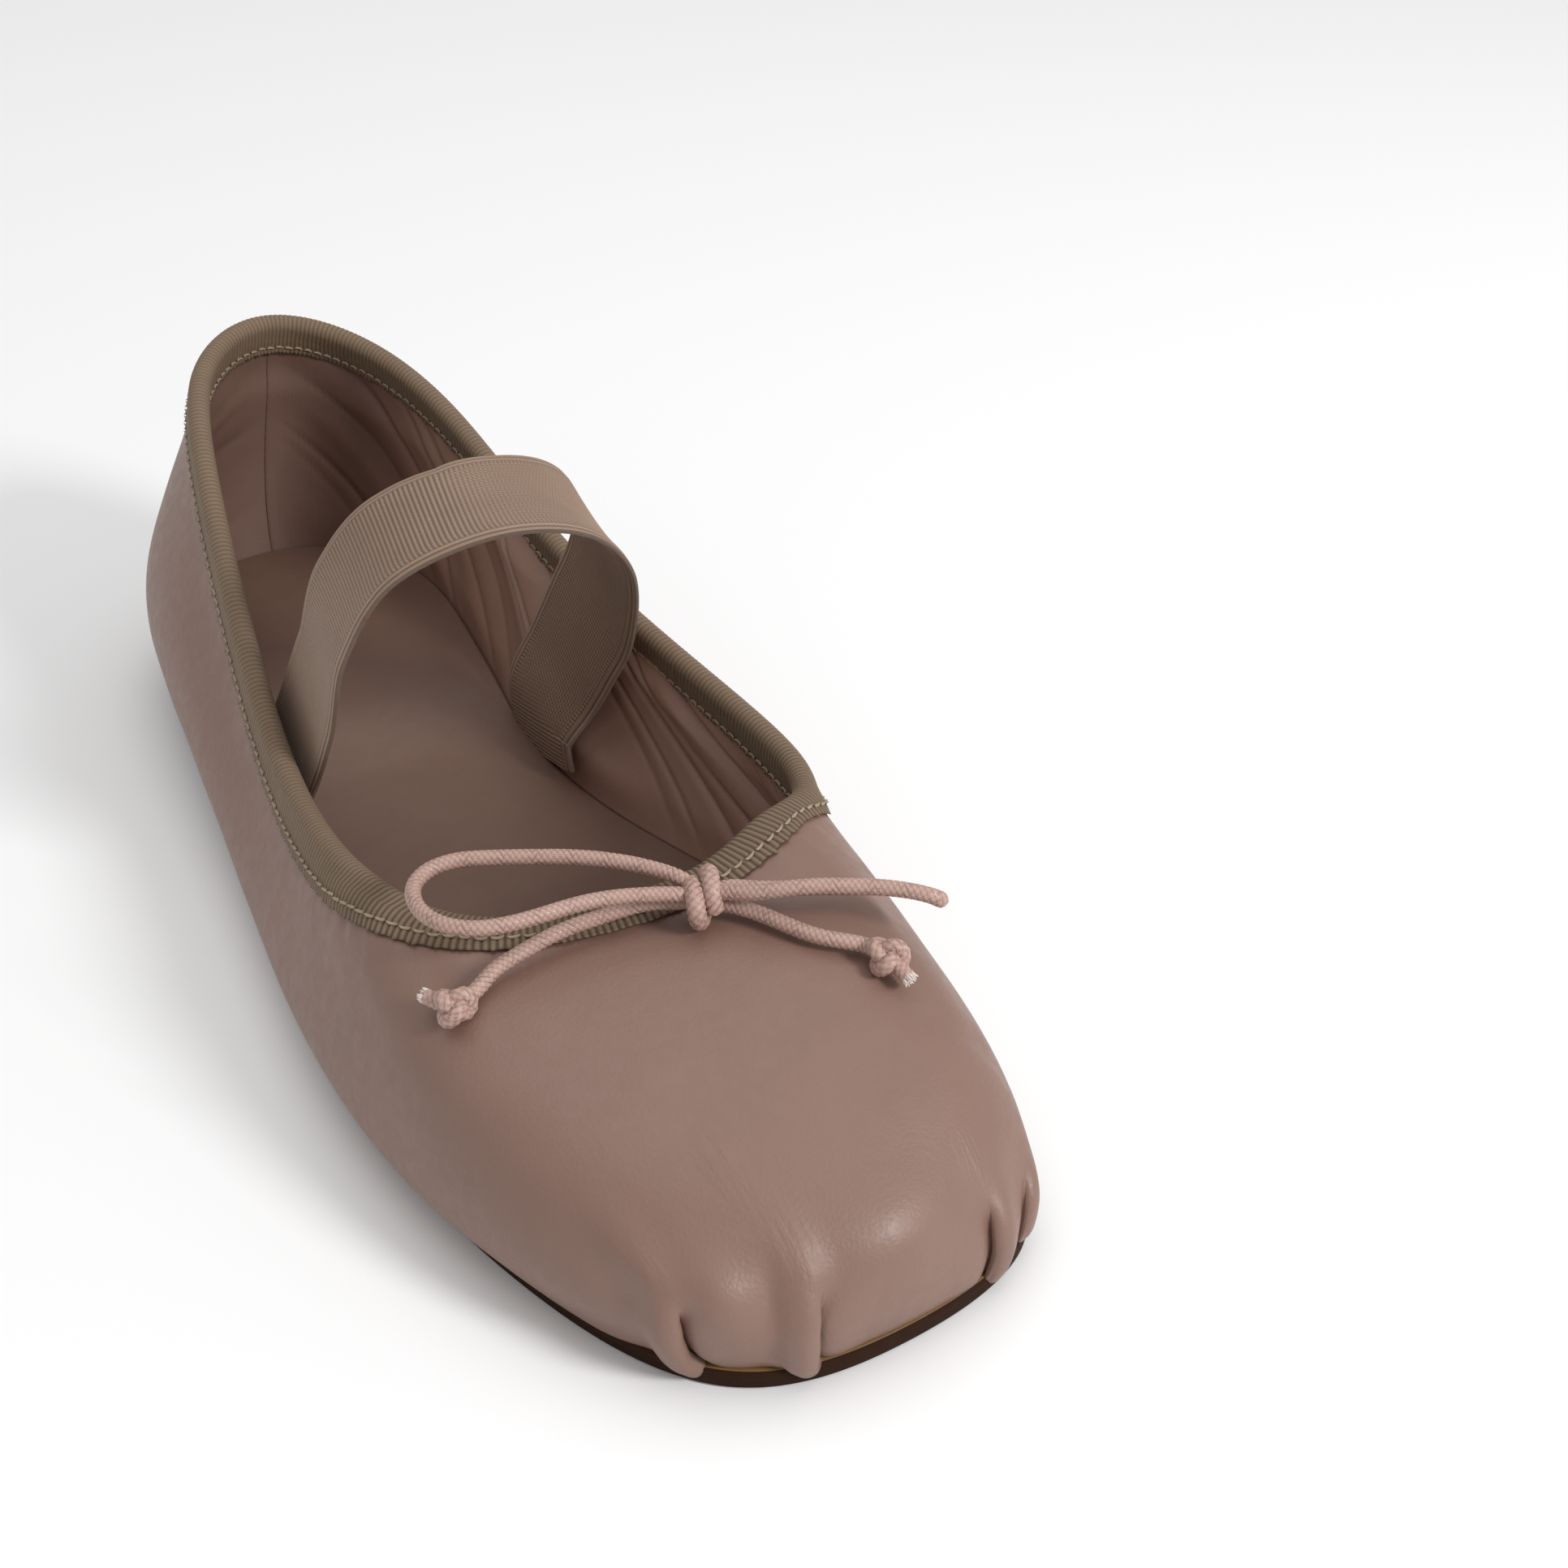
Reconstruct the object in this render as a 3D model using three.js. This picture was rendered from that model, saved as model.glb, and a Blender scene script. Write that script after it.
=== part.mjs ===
// A woman's ballerina flat for the right foot: a pleated-toe leather slipper with a ribbon-bound
// topline, an elastic instep strap and a drawcord bow. Millimetres, +Z up, toe towards -Y, the
// inner (medial) side of the foot on +X. The origin is on the ground under the middle of the shoe.
import * as THREE from 'three';

// ---------------------------------------------------------------- driving dimensions
const forefootSeat = 3.5; // height of the upper's bottom edge above the ground, at the toe
const heelRaise = 4.5; // how much higher the same edge sits at the heel
const raiseStart = -5; // y where the bottom starts to rise
const raiseEnd = 85; // y where it has risen
const gap = 0.3; // clearance between touching pieces
const leather = 1.0; // thickness of the outer leather
const stiffener = 0.6; // thickness of the heel counter and the toe puff
const liningThick = 0.7;
const ribbonThick = 0.5; // grosgrain ribbon folded over the topline
const cordRadius = 1.1; // round braided drawcord
const cordDrop = 1.9; // cord centre below the crest of the binding
const edgeDrop = 3.5; // cut edge of leather and lining below the crest
const bindingOutside = 8.0; // ribbon width showing outside, from the crest
const bindingInside = 7.5; // ribbon width showing inside
const threadDrop = 5.5; // stitch line below the crest
const threadSize = 0.4;
const lastingMargin = 9.0; // leather turned in under the insole board
const boardThick = 1.2;
const boardFit = 0.7; // room between the board's edge and the leather
const sockThick = 1.0;
const cushionThick = 1.9;
const strapWidth = 26.5;
const strapThick = 1.2;
const tabThick = 0.8; // strap ends sewn flat against the lining
const knotRadius = 2.4;
const endKnotRadius = 2.8;
const perStation = 5; // sections between two stations of the upper

// Fourteen stations round the shoe, from the toe tip down the outer side to the heel and back.
// foot: bottom edge x, y. top: crest of the topline x, y, z. low and high: the two handles that
// shape the wall between them, as (outward, up) from the foot and (outward, down) from the top.
const stations = [
  { foot: [4.5, -122], top: [5, -56.5, 36], low: [9, 21.5], high: [34, -3] },
  { foot: [-20.5, -116], top: [-21.5, -50, 34], low: [10, 19.5], high: [28, -0.5] },
  { foot: [-35.5, -87], top: [-32.5, -34, 34.5], low: [14, 6.5], high: [14, 4.5] },
  { foot: [-42.5, -40], top: [-35.5, -14.5, 33], low: [13, 8], high: [4, 11.5] },
  { foot: [-38.5, 20], top: [-32.5, 23, 35], low: [11, 12], high: [0.5, 15] },
  { foot: [-33.5, 77.5], top: [-22.5, 79, 53.5], low: [10.5, 20], high: [0, 17.5] },
  { foot: [-23, 109], top: [-11, 110, 61.5], low: [8.5, 18], high: [3.5, 17] },
  { foot: [-1, 118], top: [5, 120.5, 63], low: [7.5, 20.5], high: [5, 16] },
  { foot: [17.5, 108], top: [20.5, 110, 59.5], low: [7, 20], high: [4.5, 16] },
  { foot: [25.5, 78], top: [28.5, 80, 53], low: [6.5, 18], high: [3.5, 14] },
  { foot: [22, 17.5], top: [31.5, 35, 42.5], low: [6.5, 14], high: [4, 11] },
  { foot: [37, -40], top: [37, -14, 37.5], low: [8, 14], high: [1, 11.5] },
  { foot: [36, -85], top: [35.5, -43, 37.5], low: [6.5, 13.5], high: [1, 9.5] },
  { foot: [30.5, -113.5], top: [21, -52.5, 39], low: [7, 15.5], high: [23, -3] },
];

// ---------------------------------------------------------------- small maths
const smooth = (x, from, to) => {
  const u = Math.min(1, Math.max(0, (x - from) / (to - from)));
  return u * u * (3 - 2 * u);
};
const seat = (y) => forefootSeat + heelRaise * smooth(y, raiseStart, raiseEnd);

// A smooth closed curve through the given points, as a uniform cubic B-spline.
function closedSpline(points) {
  const n = points.length;
  let knots = points.map((p) => [...p]);
  for (let pass = 0; pass < 40; pass += 1) {
    const old = knots;
    knots = old.map((c, i) => c.map((v, a) => (
      v + points[i][a] - (old[(i + n - 1) % n][a] + 4 * v + old[(i + 1) % n][a]) / 6
    )));
  }
  return (s) => {
    const i = Math.floor(s);
    const u = s - i;
    const w = [(1 - u) ** 3, 3 * u ** 3 - 6 * u * u + 4, -3 * u ** 3 + 3 * u * u + 3 * u + 1, u ** 3];
    const at = (k) => knots[(((i + k) % n) + n) % n];
    return points[0].map((_, a) => (
      (w[0] * at(-1)[a] + w[1] * at(0)[a] + w[2] * at(1)[a] + w[3] * at(2)[a]) / 6
    ));
  };
}

const footLine = closedSpline(stations.map((p) => p.foot));
const topLine = closedSpline(stations.map((p) => p.top));
const handles = closedSpline(stations.map((p) => [...p.low, ...p.high]));

// Outward unit normal, in plan, of a closed curve that runs clockwise seen from above.
function planNormal(curve, s) {
  const a = curve(s - 0.02);
  const b = curve(s + 0.02);
  const length = Math.hypot(b[0] - a[0], b[1] - a[1]);
  return [-(b[1] - a[1]) / length, (b[0] - a[0]) / length];
}

// ---------------------------------------------------------------- the upper's outer surface
// wall(s) gives the section curve at s; t runs from 0 at the bottom edge to 1 at the crest.
const wallCache = new Map();
function wall(s) {
  const key = s.toFixed(4);
  if (!wallCache.has(key)) {
    const foot = footLine(s);
    const top = topLine(s);
    const h = handles(s);
    const nf = planNormal(footLine, s);
    const nt = planNormal(topLine, s);
    const z = seat(foot[1]);
    wallCache.set(key, new THREE.CubicBezierCurve3(
      new THREE.Vector3(foot[0], foot[1], z),
      new THREE.Vector3(foot[0] + nf[0] * h[0], foot[1] + nf[1] * h[0], z + h[1]),
      new THREE.Vector3(top[0] + nt[0] * h[2], top[1] + nt[1] * h[2], top[2] - h[3]),
      new THREE.Vector3(...top),
    ));
  }
  return wallCache.get(key);
}

function wallNormal(s, t) {
  const across = wall(s + 0.02).getPoint(t).sub(wall(s - 0.02).getPoint(t));
  const lo = Math.max(0, t - 0.01);
  const hi = Math.min(1, t + 0.01);
  const up = wall(s).getPoint(hi).sub(wall(s).getPoint(lo));
  return up.cross(across).normalize();
}

// A point of the wall, depth millimetres in from its outer face.
function skin(s, t, depth) {
  return wall(s).getPoint(t).addScaledVector(wallNormal(s, t), -depth);
}

// The t that lies drop millimetres below the crest, measured along the wall.
function tBelow(s, drop) {
  const curve = wall(s);
  const steps = 200;
  let before = curve.getPoint(1);
  let run = 0;
  for (let i = 1; i <= steps; i += 1) {
    const p = curve.getPoint(1 - i / steps);
    const step = p.distanceTo(before);
    if (run + step >= drop) return 1 - (i - 1 + (drop - run) / step) / steps;
    run += step;
    before = p;
  }
  return 0;
}

// The t where the surface at that depth reaches a height above the seat.
function tAtRise(s, depth, rise) {
  let lo = 0;
  let hi = 0.6;
  const goal = seat(footLine(s)[1]) + rise;
  for (let i = 0; i < 30; i += 1) {
    const mid = (lo + hi) / 2;
    if (skin(s, mid, depth).z < goal) lo = mid;
    else hi = mid;
  }
  return hi;
}

// ---------------------------------------------------------------- solids from rows of sections
const ringSteps = stations.length * perStation;
const ringStations = Array.from({ length: ringSteps }, (_, i) => i / perStation);

function solid(vertices, triangles) {
  const geometry = new THREE.BufferGeometry();
  geometry.setAttribute('position', new THREE.Float32BufferAttribute(vertices.flatMap((v) => [v.x, v.y, v.z]), 3));
  geometry.setIndex(triangles.flat());
  let volume = 0;
  for (const [a, b, c] of triangles) {
    volume += vertices[a].dot(new THREE.Vector3().crossVectors(vertices[b], vertices[c]));
  }
  if (volume < 0) geometry.setIndex(triangles.flatMap(([a, b, c]) => [a, c, b]));
  geometry.computeVertexNormals();
  return geometry;
}

// Joins sections, each a closed polygon with the same number of points. Ends are capped by
// zigzag strips between the polygon's first half and its second half, unless the row closes.
function loft(sections, closed) {
  const m = sections[0].length;
  const n = sections.length;
  const triangles = [];
  for (let i = 0; i < (closed ? n : n - 1); i += 1) {
    const a = i * m;
    const b = ((i + 1) % n) * m;
    for (let j = 0; j < m; j += 1) {
      const k = (j + 1) % m;
      triangles.push([a + j, a + k, b + k], [a + j, b + k, b + j]);
    }
  }
  if (!closed) {
    const last = (n - 1) * m;
    let j = 0;
    let k = m - 1;
    while (k - j > 1) {
      triangles.push([j, k, k - 1], [last + j, last + k - 1, last + k]);
      k -= 1;
      if (k - j > 1) triangles.push([j, k, j + 1], [last + j, last + j + 1, last + k]);
      j += 1;
    }
  }
  return solid(sections.flat(), triangles);
}

function piece(name, geometry, colour, roughness, metalness = 0) {
  const material = new THREE.MeshStandardMaterial({ color: colour, roughness, metalness });
  const mesh = new THREE.Mesh(geometry, material);
  mesh.name = name;
  return mesh;
}

// A layer of the wall between two station numbers: rows of t from low(s) to high(s).
function layer(from, to, rows, low, high, outer, inner) {
  const sections = [];
  const closed = to - from >= stations.length;
  const count = Math.round((to - from) * perStation);
  for (let i = 0; i < count + (closed ? 0 : 1); i += 1) {
    const s = from + i / perStation;
    const t0 = low(s);
    const t1 = high(s);
    const section = [];
    for (let r = 0; r <= rows; r += 1) {
      const t = t0 + ((t1 - t0) * r) / rows;
      section.push(skin(s, t, outer(s, t)));
    }
    for (let r = rows; r >= 0; r -= 1) {
      const t = t0 + ((t1 - t0) * r) / rows;
      section.push(skin(s, t, inner(s, t)));
    }
    sections.push(section);
  }
  return loft(sections, closed);
}

// ---------------------------------------------------------------- bottom plates
// Outline of the bottom edge moved outward by grow, in plan.
function outline(grow) {
  return ringStations.map((s) => {
    const p = footLine(s);
    const n = planNormal(footLine, s);
    return [p[0] + n[0] * grow, p[1] + n[1] * grow];
  });
}

// Outline that follows the wall's inner face at a depth and a rise above the seat.
function innerOutline(depth, rise) {
  return ringStations.map((s) => {
    const p = skin(s, tAtRise(s, depth, rise), depth);
    return [p.x, p.y];
  });
}

function span(shape, y) {
  const hits = [];
  for (let i = 0; i < shape.length; i += 1) {
    const [ax, ay] = shape[i];
    const [bx, by] = shape[(i + 1) % shape.length];
    if ((ay <= y) !== (by <= y)) hits.push(ax + ((bx - ax) * (y - ay)) / (by - ay));
  }
  return [Math.min(...hits), Math.max(...hits)];
}

// A plate cut from an outline between two y, with its bottom and top as functions of y.
function plate(shape, yFrom, yTo, bottom, top, steps = 30) {
  const ys = shape.map((p) => p[1]);
  const tip = 0.12;
  const first = Math.max(yFrom, Math.min(...ys) + tip);
  const last = Math.min(yTo, Math.max(...ys) - tip);
  const sections = [];
  for (let i = 0; i <= steps; i += 1) {
    const y = first + ((last - first) * (1 - Math.cos((Math.PI * i) / steps))) / 2;
    const [x0, x1] = span(shape, y);
    sections.push([
      new THREE.Vector3(x0, y, bottom(y)),
      new THREE.Vector3(x0, y, top(y)),
      new THREE.Vector3(x1, y, top(y)),
      new THREE.Vector3(x1, y, bottom(y)),
    ]);
  }
  return loft(sections, false);
}

const toeEnd = -200;
const heelEnd = 200;
const heelBreast = 76;
const soleThick = forefootSeat - gap;
const heelSoleThick = 2.4;
const soleBottom = (y) => (forefootSeat + gap > seat(y) ? 0 : seat(y) - gap - soleThick
  + (soleThick - heelSoleThick) * smooth(y, raiseStart, raiseEnd));
const topPieceThick = 2.2;
const boardRise = leather + gap;
const boardTop = boardRise + boardThick;
const sockRise = (y) => boardTop + gap + (cushionThick + gap) * smooth(y, 30, 52);

function bottomPieces() {
  const sole = outline(0.8);
  const outsole = plate(sole, toeEnd, heelEnd, soleBottom, (y) => seat(y) - gap, 40);
  const lift = plate(outline(0.3), heelBreast, heelEnd, () => topPieceThick + gap, (y) => soleBottom(y) - gap, 14);
  const topPiece = plate(outline(0.1), heelBreast + 1, heelEnd, () => 0, () => topPieceThick, 14);
  const board = plate(
    innerOutline(leather + boardFit, boardRise), toeEnd, heelEnd,
    (y) => seat(y) + boardRise, (y) => seat(y) + boardTop, 40,
  );
  const inside = outline(-lastingMargin - 0.6);
  const filler = plate(inside, toeEnd, 4, seat, (y) => seat(y) + leather, 20);
  const shankHalf = 6;
  const shankShape = [[-7 - shankHalf, 6], [-7 + shankHalf, 6], [shankHalf, 100], [-shankHalf, 100]];
  const shank = plate(shankShape, 6, 100, seat, (y) => seat(y) + leather, 14);
  const cushion = plate(
    innerOutline(leather + stiffener + liningThick + 3, boardTop + gap), 54, heelEnd,
    (y) => seat(y) + boardTop + gap, (y) => seat(y) + boardTop + gap + cushionThick, 14,
  );
  const liningInner = leather + stiffener + liningThick + 3 * gap;
  const sock = plate(
    innerOutline(liningInner + gap + 0.1, boardTop + gap), toeEnd, heelEnd,
    (y) => seat(y) + sockRise(y), (y) => seat(y) + sockRise(y) + sockThick, 40,
  );
  return [
    piece('outsole', outsole, 0x4a3020, 0.6),
    piece('heel_lift', lift, 0x4a3020, 0.6),
    piece('heel_top_piece', topPiece, 0x2a2420, 0.8),
    piece('insole_board', board, 0x9a7850, 0.9),
    piece('bottom_filler', filler, 0x8a6a48, 0.95),
    piece('shank', shank, 0x9a9a9a, 0.4, 0.9),
    piece('heel_cushion', cushion, 0xd8d0c0, 0.9),
    piece('sock_lining', sock, 0x6e584c, 0.6),
  ];
}

// ---------------------------------------------------------------- leather, stiffeners and lining
const edge = (s) => tBelow(s, edgeDrop);

function upperLeather() {
  const rows = 8;
  const sections = ringStations.map((s) => {
    const t1 = edge(s);
    const t0 = tAtRise(s, leather, leather + 0.5);
    const foot = footLine(s);
    const n = planNormal(footLine, s);
    const z = seat(foot[1]);
    const inward = (d, rise) => new THREE.Vector3(foot[0] - n[0] * d, foot[1] - n[1] * d, z + rise);
    const section = [];
    for (let r = 0; r <= rows; r += 1) section.push(skin(s, (t1 * r) / rows, 0));
    for (let r = rows; r >= 0; r -= 1) section.push(skin(s, t0 + ((t1 - t0) * r) / rows, leather));
    section.push(inward(2, leather), inward(lastingMargin, leather), inward(lastingMargin, 0));
    return section;
  });
  return loft(sections, true);
}

// The lining steps inward below the binding, to leave room for the counter and the puff.
const stepTop = 0.8;
const stepBottom = 0.66;
const liningDepth = (s, t) => leather + gap + (stiffener + 2 * gap) * (1 - smooth(t, stepBottom, stepTop));
const liningBack = (s, t) => liningDepth(s, t) + liningThick;
const liningFoot = (s) => tAtRise(s, leather + 3 * gap + stiffener, boardTop + gap);
const stiffFoot = (s) => tAtRise(s, leather + gap, boardTop + gap);

function wallPieces() {
  const rear = 2.4;
  const front = 11.6;
  const heel = 7;
  const seam = 1 / perStation;
  const counterTop = () => 0.6;
  const puffTop = () => 0.36;
  const outer = () => leather + gap;
  const puffOuter = () => leather + 2 * gap;
  const inner = () => leather + gap + stiffener;
  const puffInner = () => leather + 2 * gap + stiffener;
  const lining = (from, to) => layer(from, to, 7, liningFoot, edge, liningDepth, liningBack);
  return [
    piece('upper_leather', upperLeather(), 0x93746a, 0.45),
    piece('heel_counter', layer(heel - 2, heel + 2, 4, stiffFoot, counterTop, outer, inner), 0xb09a78, 0.9),
    piece('toe_puff', layer(-1.4, 1.4, 4, stiffFoot, puffTop, puffOuter, puffInner), 0xb09a78, 0.9),
    piece('vamp_lining', lining(front - stations.length + seam, rear - seam), 0xb8a898, 0.9),
    piece('quarter_lining_lateral', lining(rear, heel - seam), 0x5c4640, 0.6),
    piece('quarter_lining_medial', lining(heel, front), 0x5c4640, 0.6),
  ];
}

// ---------------------------------------------------------------- binding, drawcord and threads
// Local frame at the crest: the cord's centre, the outward normal and the upward direction.
function crestFrame(s) {
  const t = tBelow(s, cordDrop);
  const normal = wallNormal(s, t);
  const along = wall(s + 0.02).getPoint(t).sub(wall(s - 0.02).getPoint(t)).normalize();
  const up = new THREE.Vector3().crossVectors(along, normal).normalize();
  const middle = (leather + gap + liningThick) / 2;
  return { centre: skin(s, t, middle), normal, up };
}

function arcPoints(s, radius, angles) {
  const { centre, normal, up } = crestFrame(s);
  return angles.map((degrees) => {
    const a = THREE.MathUtils.degToRad(degrees);
    return centre.clone().addScaledVector(normal, radius * Math.cos(a)).addScaledVector(up, radius * Math.sin(a));
  });
}

function bindingSection(s) {
  const over = [0, 45, 90, 135, 180];
  const bore = cordRadius + gap;
  const backFace = leather + gap + liningThick + gap;
  const at = (drop, depth) => skin(s, tBelow(s, drop), depth);
  return [
    at(bindingOutside, -gap - ribbonThick),
    at(edgeDrop, -gap - ribbonThick),
    ...arcPoints(s, bore + ribbonThick, over),
    at(edgeDrop, backFace + ribbonThick),
    at(bindingInside, backFace + ribbonThick),
    at(bindingInside, backFace),
    at(edgeDrop, backFace),
    ...arcPoints(s, bore, [...over].reverse()),
    at(edgeDrop, -gap),
    at(bindingOutside, -gap),
  ];
}

function threadSection(s, depth) {
  const t = tBelow(s, threadDrop);
  const half = 0.02;
  return [
    skin(s, t - half, depth),
    skin(s, t - half, depth - threadSize),
    skin(s, t + half / 4, depth - threadSize),
    skin(s, t + half / 4, depth),
  ];
}

function edgePieces() {
  const rim = ringStations.map(bindingSection);
  const turn = Array.from({ length: 8 }, (_, i) => i * 45);
  const cordSections = [];
  for (let i = 2; i <= ringSteps - 2; i += 1) cordSections.push(arcPoints(i / perStation, cordRadius, turn));
  const outerDepth = -2 * gap - ribbonThick;
  const innerDepth = leather + liningThick + 3 * gap + ribbonThick + threadSize;
  return [
    piece('topline_binding', loft(rim, true), 0x6e5b4d, 0.85),
    piece('drawcord', loft(cordSections, false), 0xbfa095, 0.6),
    piece('binding_thread_outer', loft(ringStations.map((s) => threadSection(s, outerDepth)), true), 0xcdb98f, 0.6),
    piece('binding_thread_inner', loft(ringStations.map((s) => threadSection(s, innerDepth)), true), 0xcdb98f, 0.6),
  ];
}

// ---------------------------------------------------------------- instep strap
// Centre line from the inner (medial) wall over the instep to the outer wall. turn and tilt are
// the angles of the strap's width: turn away from +Y towards +X, tilt upwards.
const strapRoute = [
  { at: [19.2, 25.2, 17], turn: 0, tilt: 4 },
  { at: [23.0, 21.8, 27], turn: 1, tilt: 14 },
  { at: [24.9, 17.0, 36.5], turn: 2, tilt: 24 },
  { at: [26.2, 11.4, 47], turn: 2, tilt: 30 },
  { at: [22.8, 4.8, 62.5], turn: -3, tilt: 21 },
  { at: [10, -2, 73.8], turn: -8, tilt: 6 },
  { at: [-3.9, -4.5, 76.9], turn: 3, tilt: -1 },
  { at: [-15.8, -0.4, 71.4], turn: 12, tilt: 0 },
  { at: [-23, 6, 58], turn: 11, tilt: 6 },
  { at: [-25.3, 12.6, 41.5], turn: 9, tilt: 7 },
  { at: [-27.9, 19.6, 27], turn: 6, tilt: 3 },
  { at: [-31.6, 22.4, 17], turn: 4, tilt: 1 },
];

function strapDirection(u) {
  const last = strapRoute.length - 1;
  const i = Math.min(last - 1, Math.floor(u * last));
  const f = u * last - i;
  const mix = (key) => THREE.MathUtils.degToRad(strapRoute[i][key] * (1 - f) + strapRoute[i + 1][key] * f);
  const turn = mix('turn');
  const tilt = mix('tilt');
  return new THREE.Vector3(Math.sin(turn) * Math.cos(tilt), Math.cos(turn) * Math.cos(tilt), Math.sin(tilt));
}

function instepStrap() {
  const route = new THREE.CatmullRomCurve3(strapRoute.map((p) => new THREE.Vector3(...p.at)));
  const steps = 44;
  const sections = [];
  for (let i = 0; i <= steps; i += 1) {
    const u = i / steps;
    const centre = route.getPoint(u);
    const run = route.getTangent(u);
    const wide = strapDirection(u);
    const face = new THREE.Vector3().crossVectors(run, wide).normalize();
    wide.crossVectors(face, run).normalize();
    const at = (w, f) => centre.clone().addScaledVector(wide, w * strapWidth).addScaledVector(face, f * strapThick);
    sections.push([at(-0.5, -0.5), at(0, -0.5), at(0.5, -0.5), at(0.5, 0.5), at(0, 0.5), at(-0.5, 0.5)]);
  }
  return loft(sections, false);
}

// A strap end sewn flat on the lining, between two stations, over a band of heights.
function strapTab(from, to) {
  const depth = leather + liningThick + stiffener + 4 * gap;
  const bottomRise = 4.6;
  const topRise = 17;
  return layer(
    from, to, 3, (s) => tAtRise(s, depth, bottomRise), (s) => tAtRise(s, depth, topRise),
    () => depth, () => depth + tabThick,
  );
}

function strapPieces() {
  return [
    piece('instep_strap', instepStrap(), 0x9e887b, 0.8),
    piece('strap_tab_lateral', strapTab(3.83, 4.23), 0x9e887b, 0.8),
    piece('strap_tab_medial', strapTab(9.72, 10.12), 0x9e887b, 0.8),
  ];
}

// ---------------------------------------------------------------- bow of round braided cord
const knotCentre = [3.6, -67.6, 39.8];
const cordRoutes = {
  bow_loop_left: [
    [1.9, -64.6, 42.0], [-0.8, -60.9, 42.4], [-4.8, -56.8, 42.6], [-9.9, -52.8, 42.6], [-14.6, -49.8, 42.4],
    [-19.4, -47.0, 42.2], [-24.6, -44.6, 42.0], [-28.8, -44.6, 41.8], [-32.0, -46.8, 41.6],
    [-33.4, -50.4, 41.6], [-33.2, -54.6, 41.6], [-31.4, -58.4, 41.8], [-28.2, -61.0, 41.9],
    [-24.4, -62.2, 42.0], [-20.2, -62.6, 42.0], [-15.8, -62.8, 42.1], [-11.8, -63.2, 42.1],
    [-7.6, -64.2, 42.0], [-3.6, -65.6, 41.8], [0.0, -66.9, 41.4],
  ],
  bow_loop_right: [
    [6.0, -70.2, 41.8], [9.0, -73.6, 42.8], [12.6, -76.0, 43.8], [16.6, -78.2, 44.2], [20.6, -80.6, 44.3],
    [24.6, -83.0, 44.2], [28.2, -85.6, 43.8], [30.8, -87.2, 42.9], [32.0, -86.6, 41.6],
    [31.9, -84.4, 40.9], [30.0, -82.0, 40.9], [26.5, -79.6, 41.2], [22.5, -77.2, 41.2],
    [18.5, -74.8, 41.1], [14.5, -72.6, 40.9], [10.8, -70.0, 40.6], [7.6, -67.6, 40.4],
  ],
  bow_tail_left: [
    [0.6, -65.9, 39.2], [-2.9, -63.8, 38.9], [-6.3, -62.7, 38.4], [-10.5, -62.0, 37.8], [-14.5, -61.6, 37.4],
    [-18.1, -61.7, 37.0], [-21.5, -62.1, 36.5], [-24.5, -62.5, 36.0], [-27.2, -63.1, 35.5],
    [-30.9, -64.8, 34.4],
  ],
  bow_tail_right: [
    [6.4, -69.8, 39.2], [8.9, -72.7, 39.0], [10.6, -75.3, 38.8], [12.0, -77.7, 38.6], [13.5, -80.1, 38.4],
    [15.3, -82.2, 38.2], [18.0, -84.2, 37.8], [20.0, -85.5, 37.3],
  ],
};
const endKnots = { tail_knot_left: [-34.4, -65.9, 34.0], tail_knot_right: [21.5, -89.0, 37.2] };
const cordSides = 8;
const cordStep = 2.6; // length of one step of a cord, at most 80 steps in all

function cord(points) {
  const route = new THREE.CatmullRomCurve3(points.map((p) => new THREE.Vector3(...p)));
  const section = new THREE.Shape();
  for (let i = 0; i < cordSides; i += 1) {
    const a = (2 * Math.PI * i) / cordSides;
    const place = i === 0 ? 'moveTo' : 'lineTo';
    section[place](cordRadius * Math.cos(a), cordRadius * Math.sin(a));
  }
  section.closePath();
  const steps = Math.round(route.getLength() / cordStep);
  return new THREE.ExtrudeGeometry(section, { steps, bevelEnabled: false, extrudePath: route });
}

function knot(name, centre, radius) {
  const mesh = piece(name, new THREE.SphereGeometry(radius, 12, 8), 0xbfa095, 0.6);
  mesh.position.set(...centre);
  return mesh;
}

function bowPieces() {
  const cords = Object.entries(cordRoutes).map(([name, points]) => piece(name, cord(points), 0xbfa095, 0.6));
  const knots = Object.entries(endKnots).map(([name, centre]) => knot(name, centre, endKnotRadius));
  return [knot('bow_knot', knotCentre, knotRadius), ...cords, ...knots];
}

// ---------------------------------------------------------------- the assembly
// Centring puts the origin on the ground under the middle of the shoe's bounding box.
const centring = [2.93, -0.32];
const slipper = new THREE.Group();
slipper.position.set(...centring, 0);
slipper.add(...bottomPieces());
slipper.add(...wallPieces());
slipper.add(...edgePieces());
slipper.add(...strapPieces());
slipper.add(...bowPieces());

export default slipper;
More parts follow.
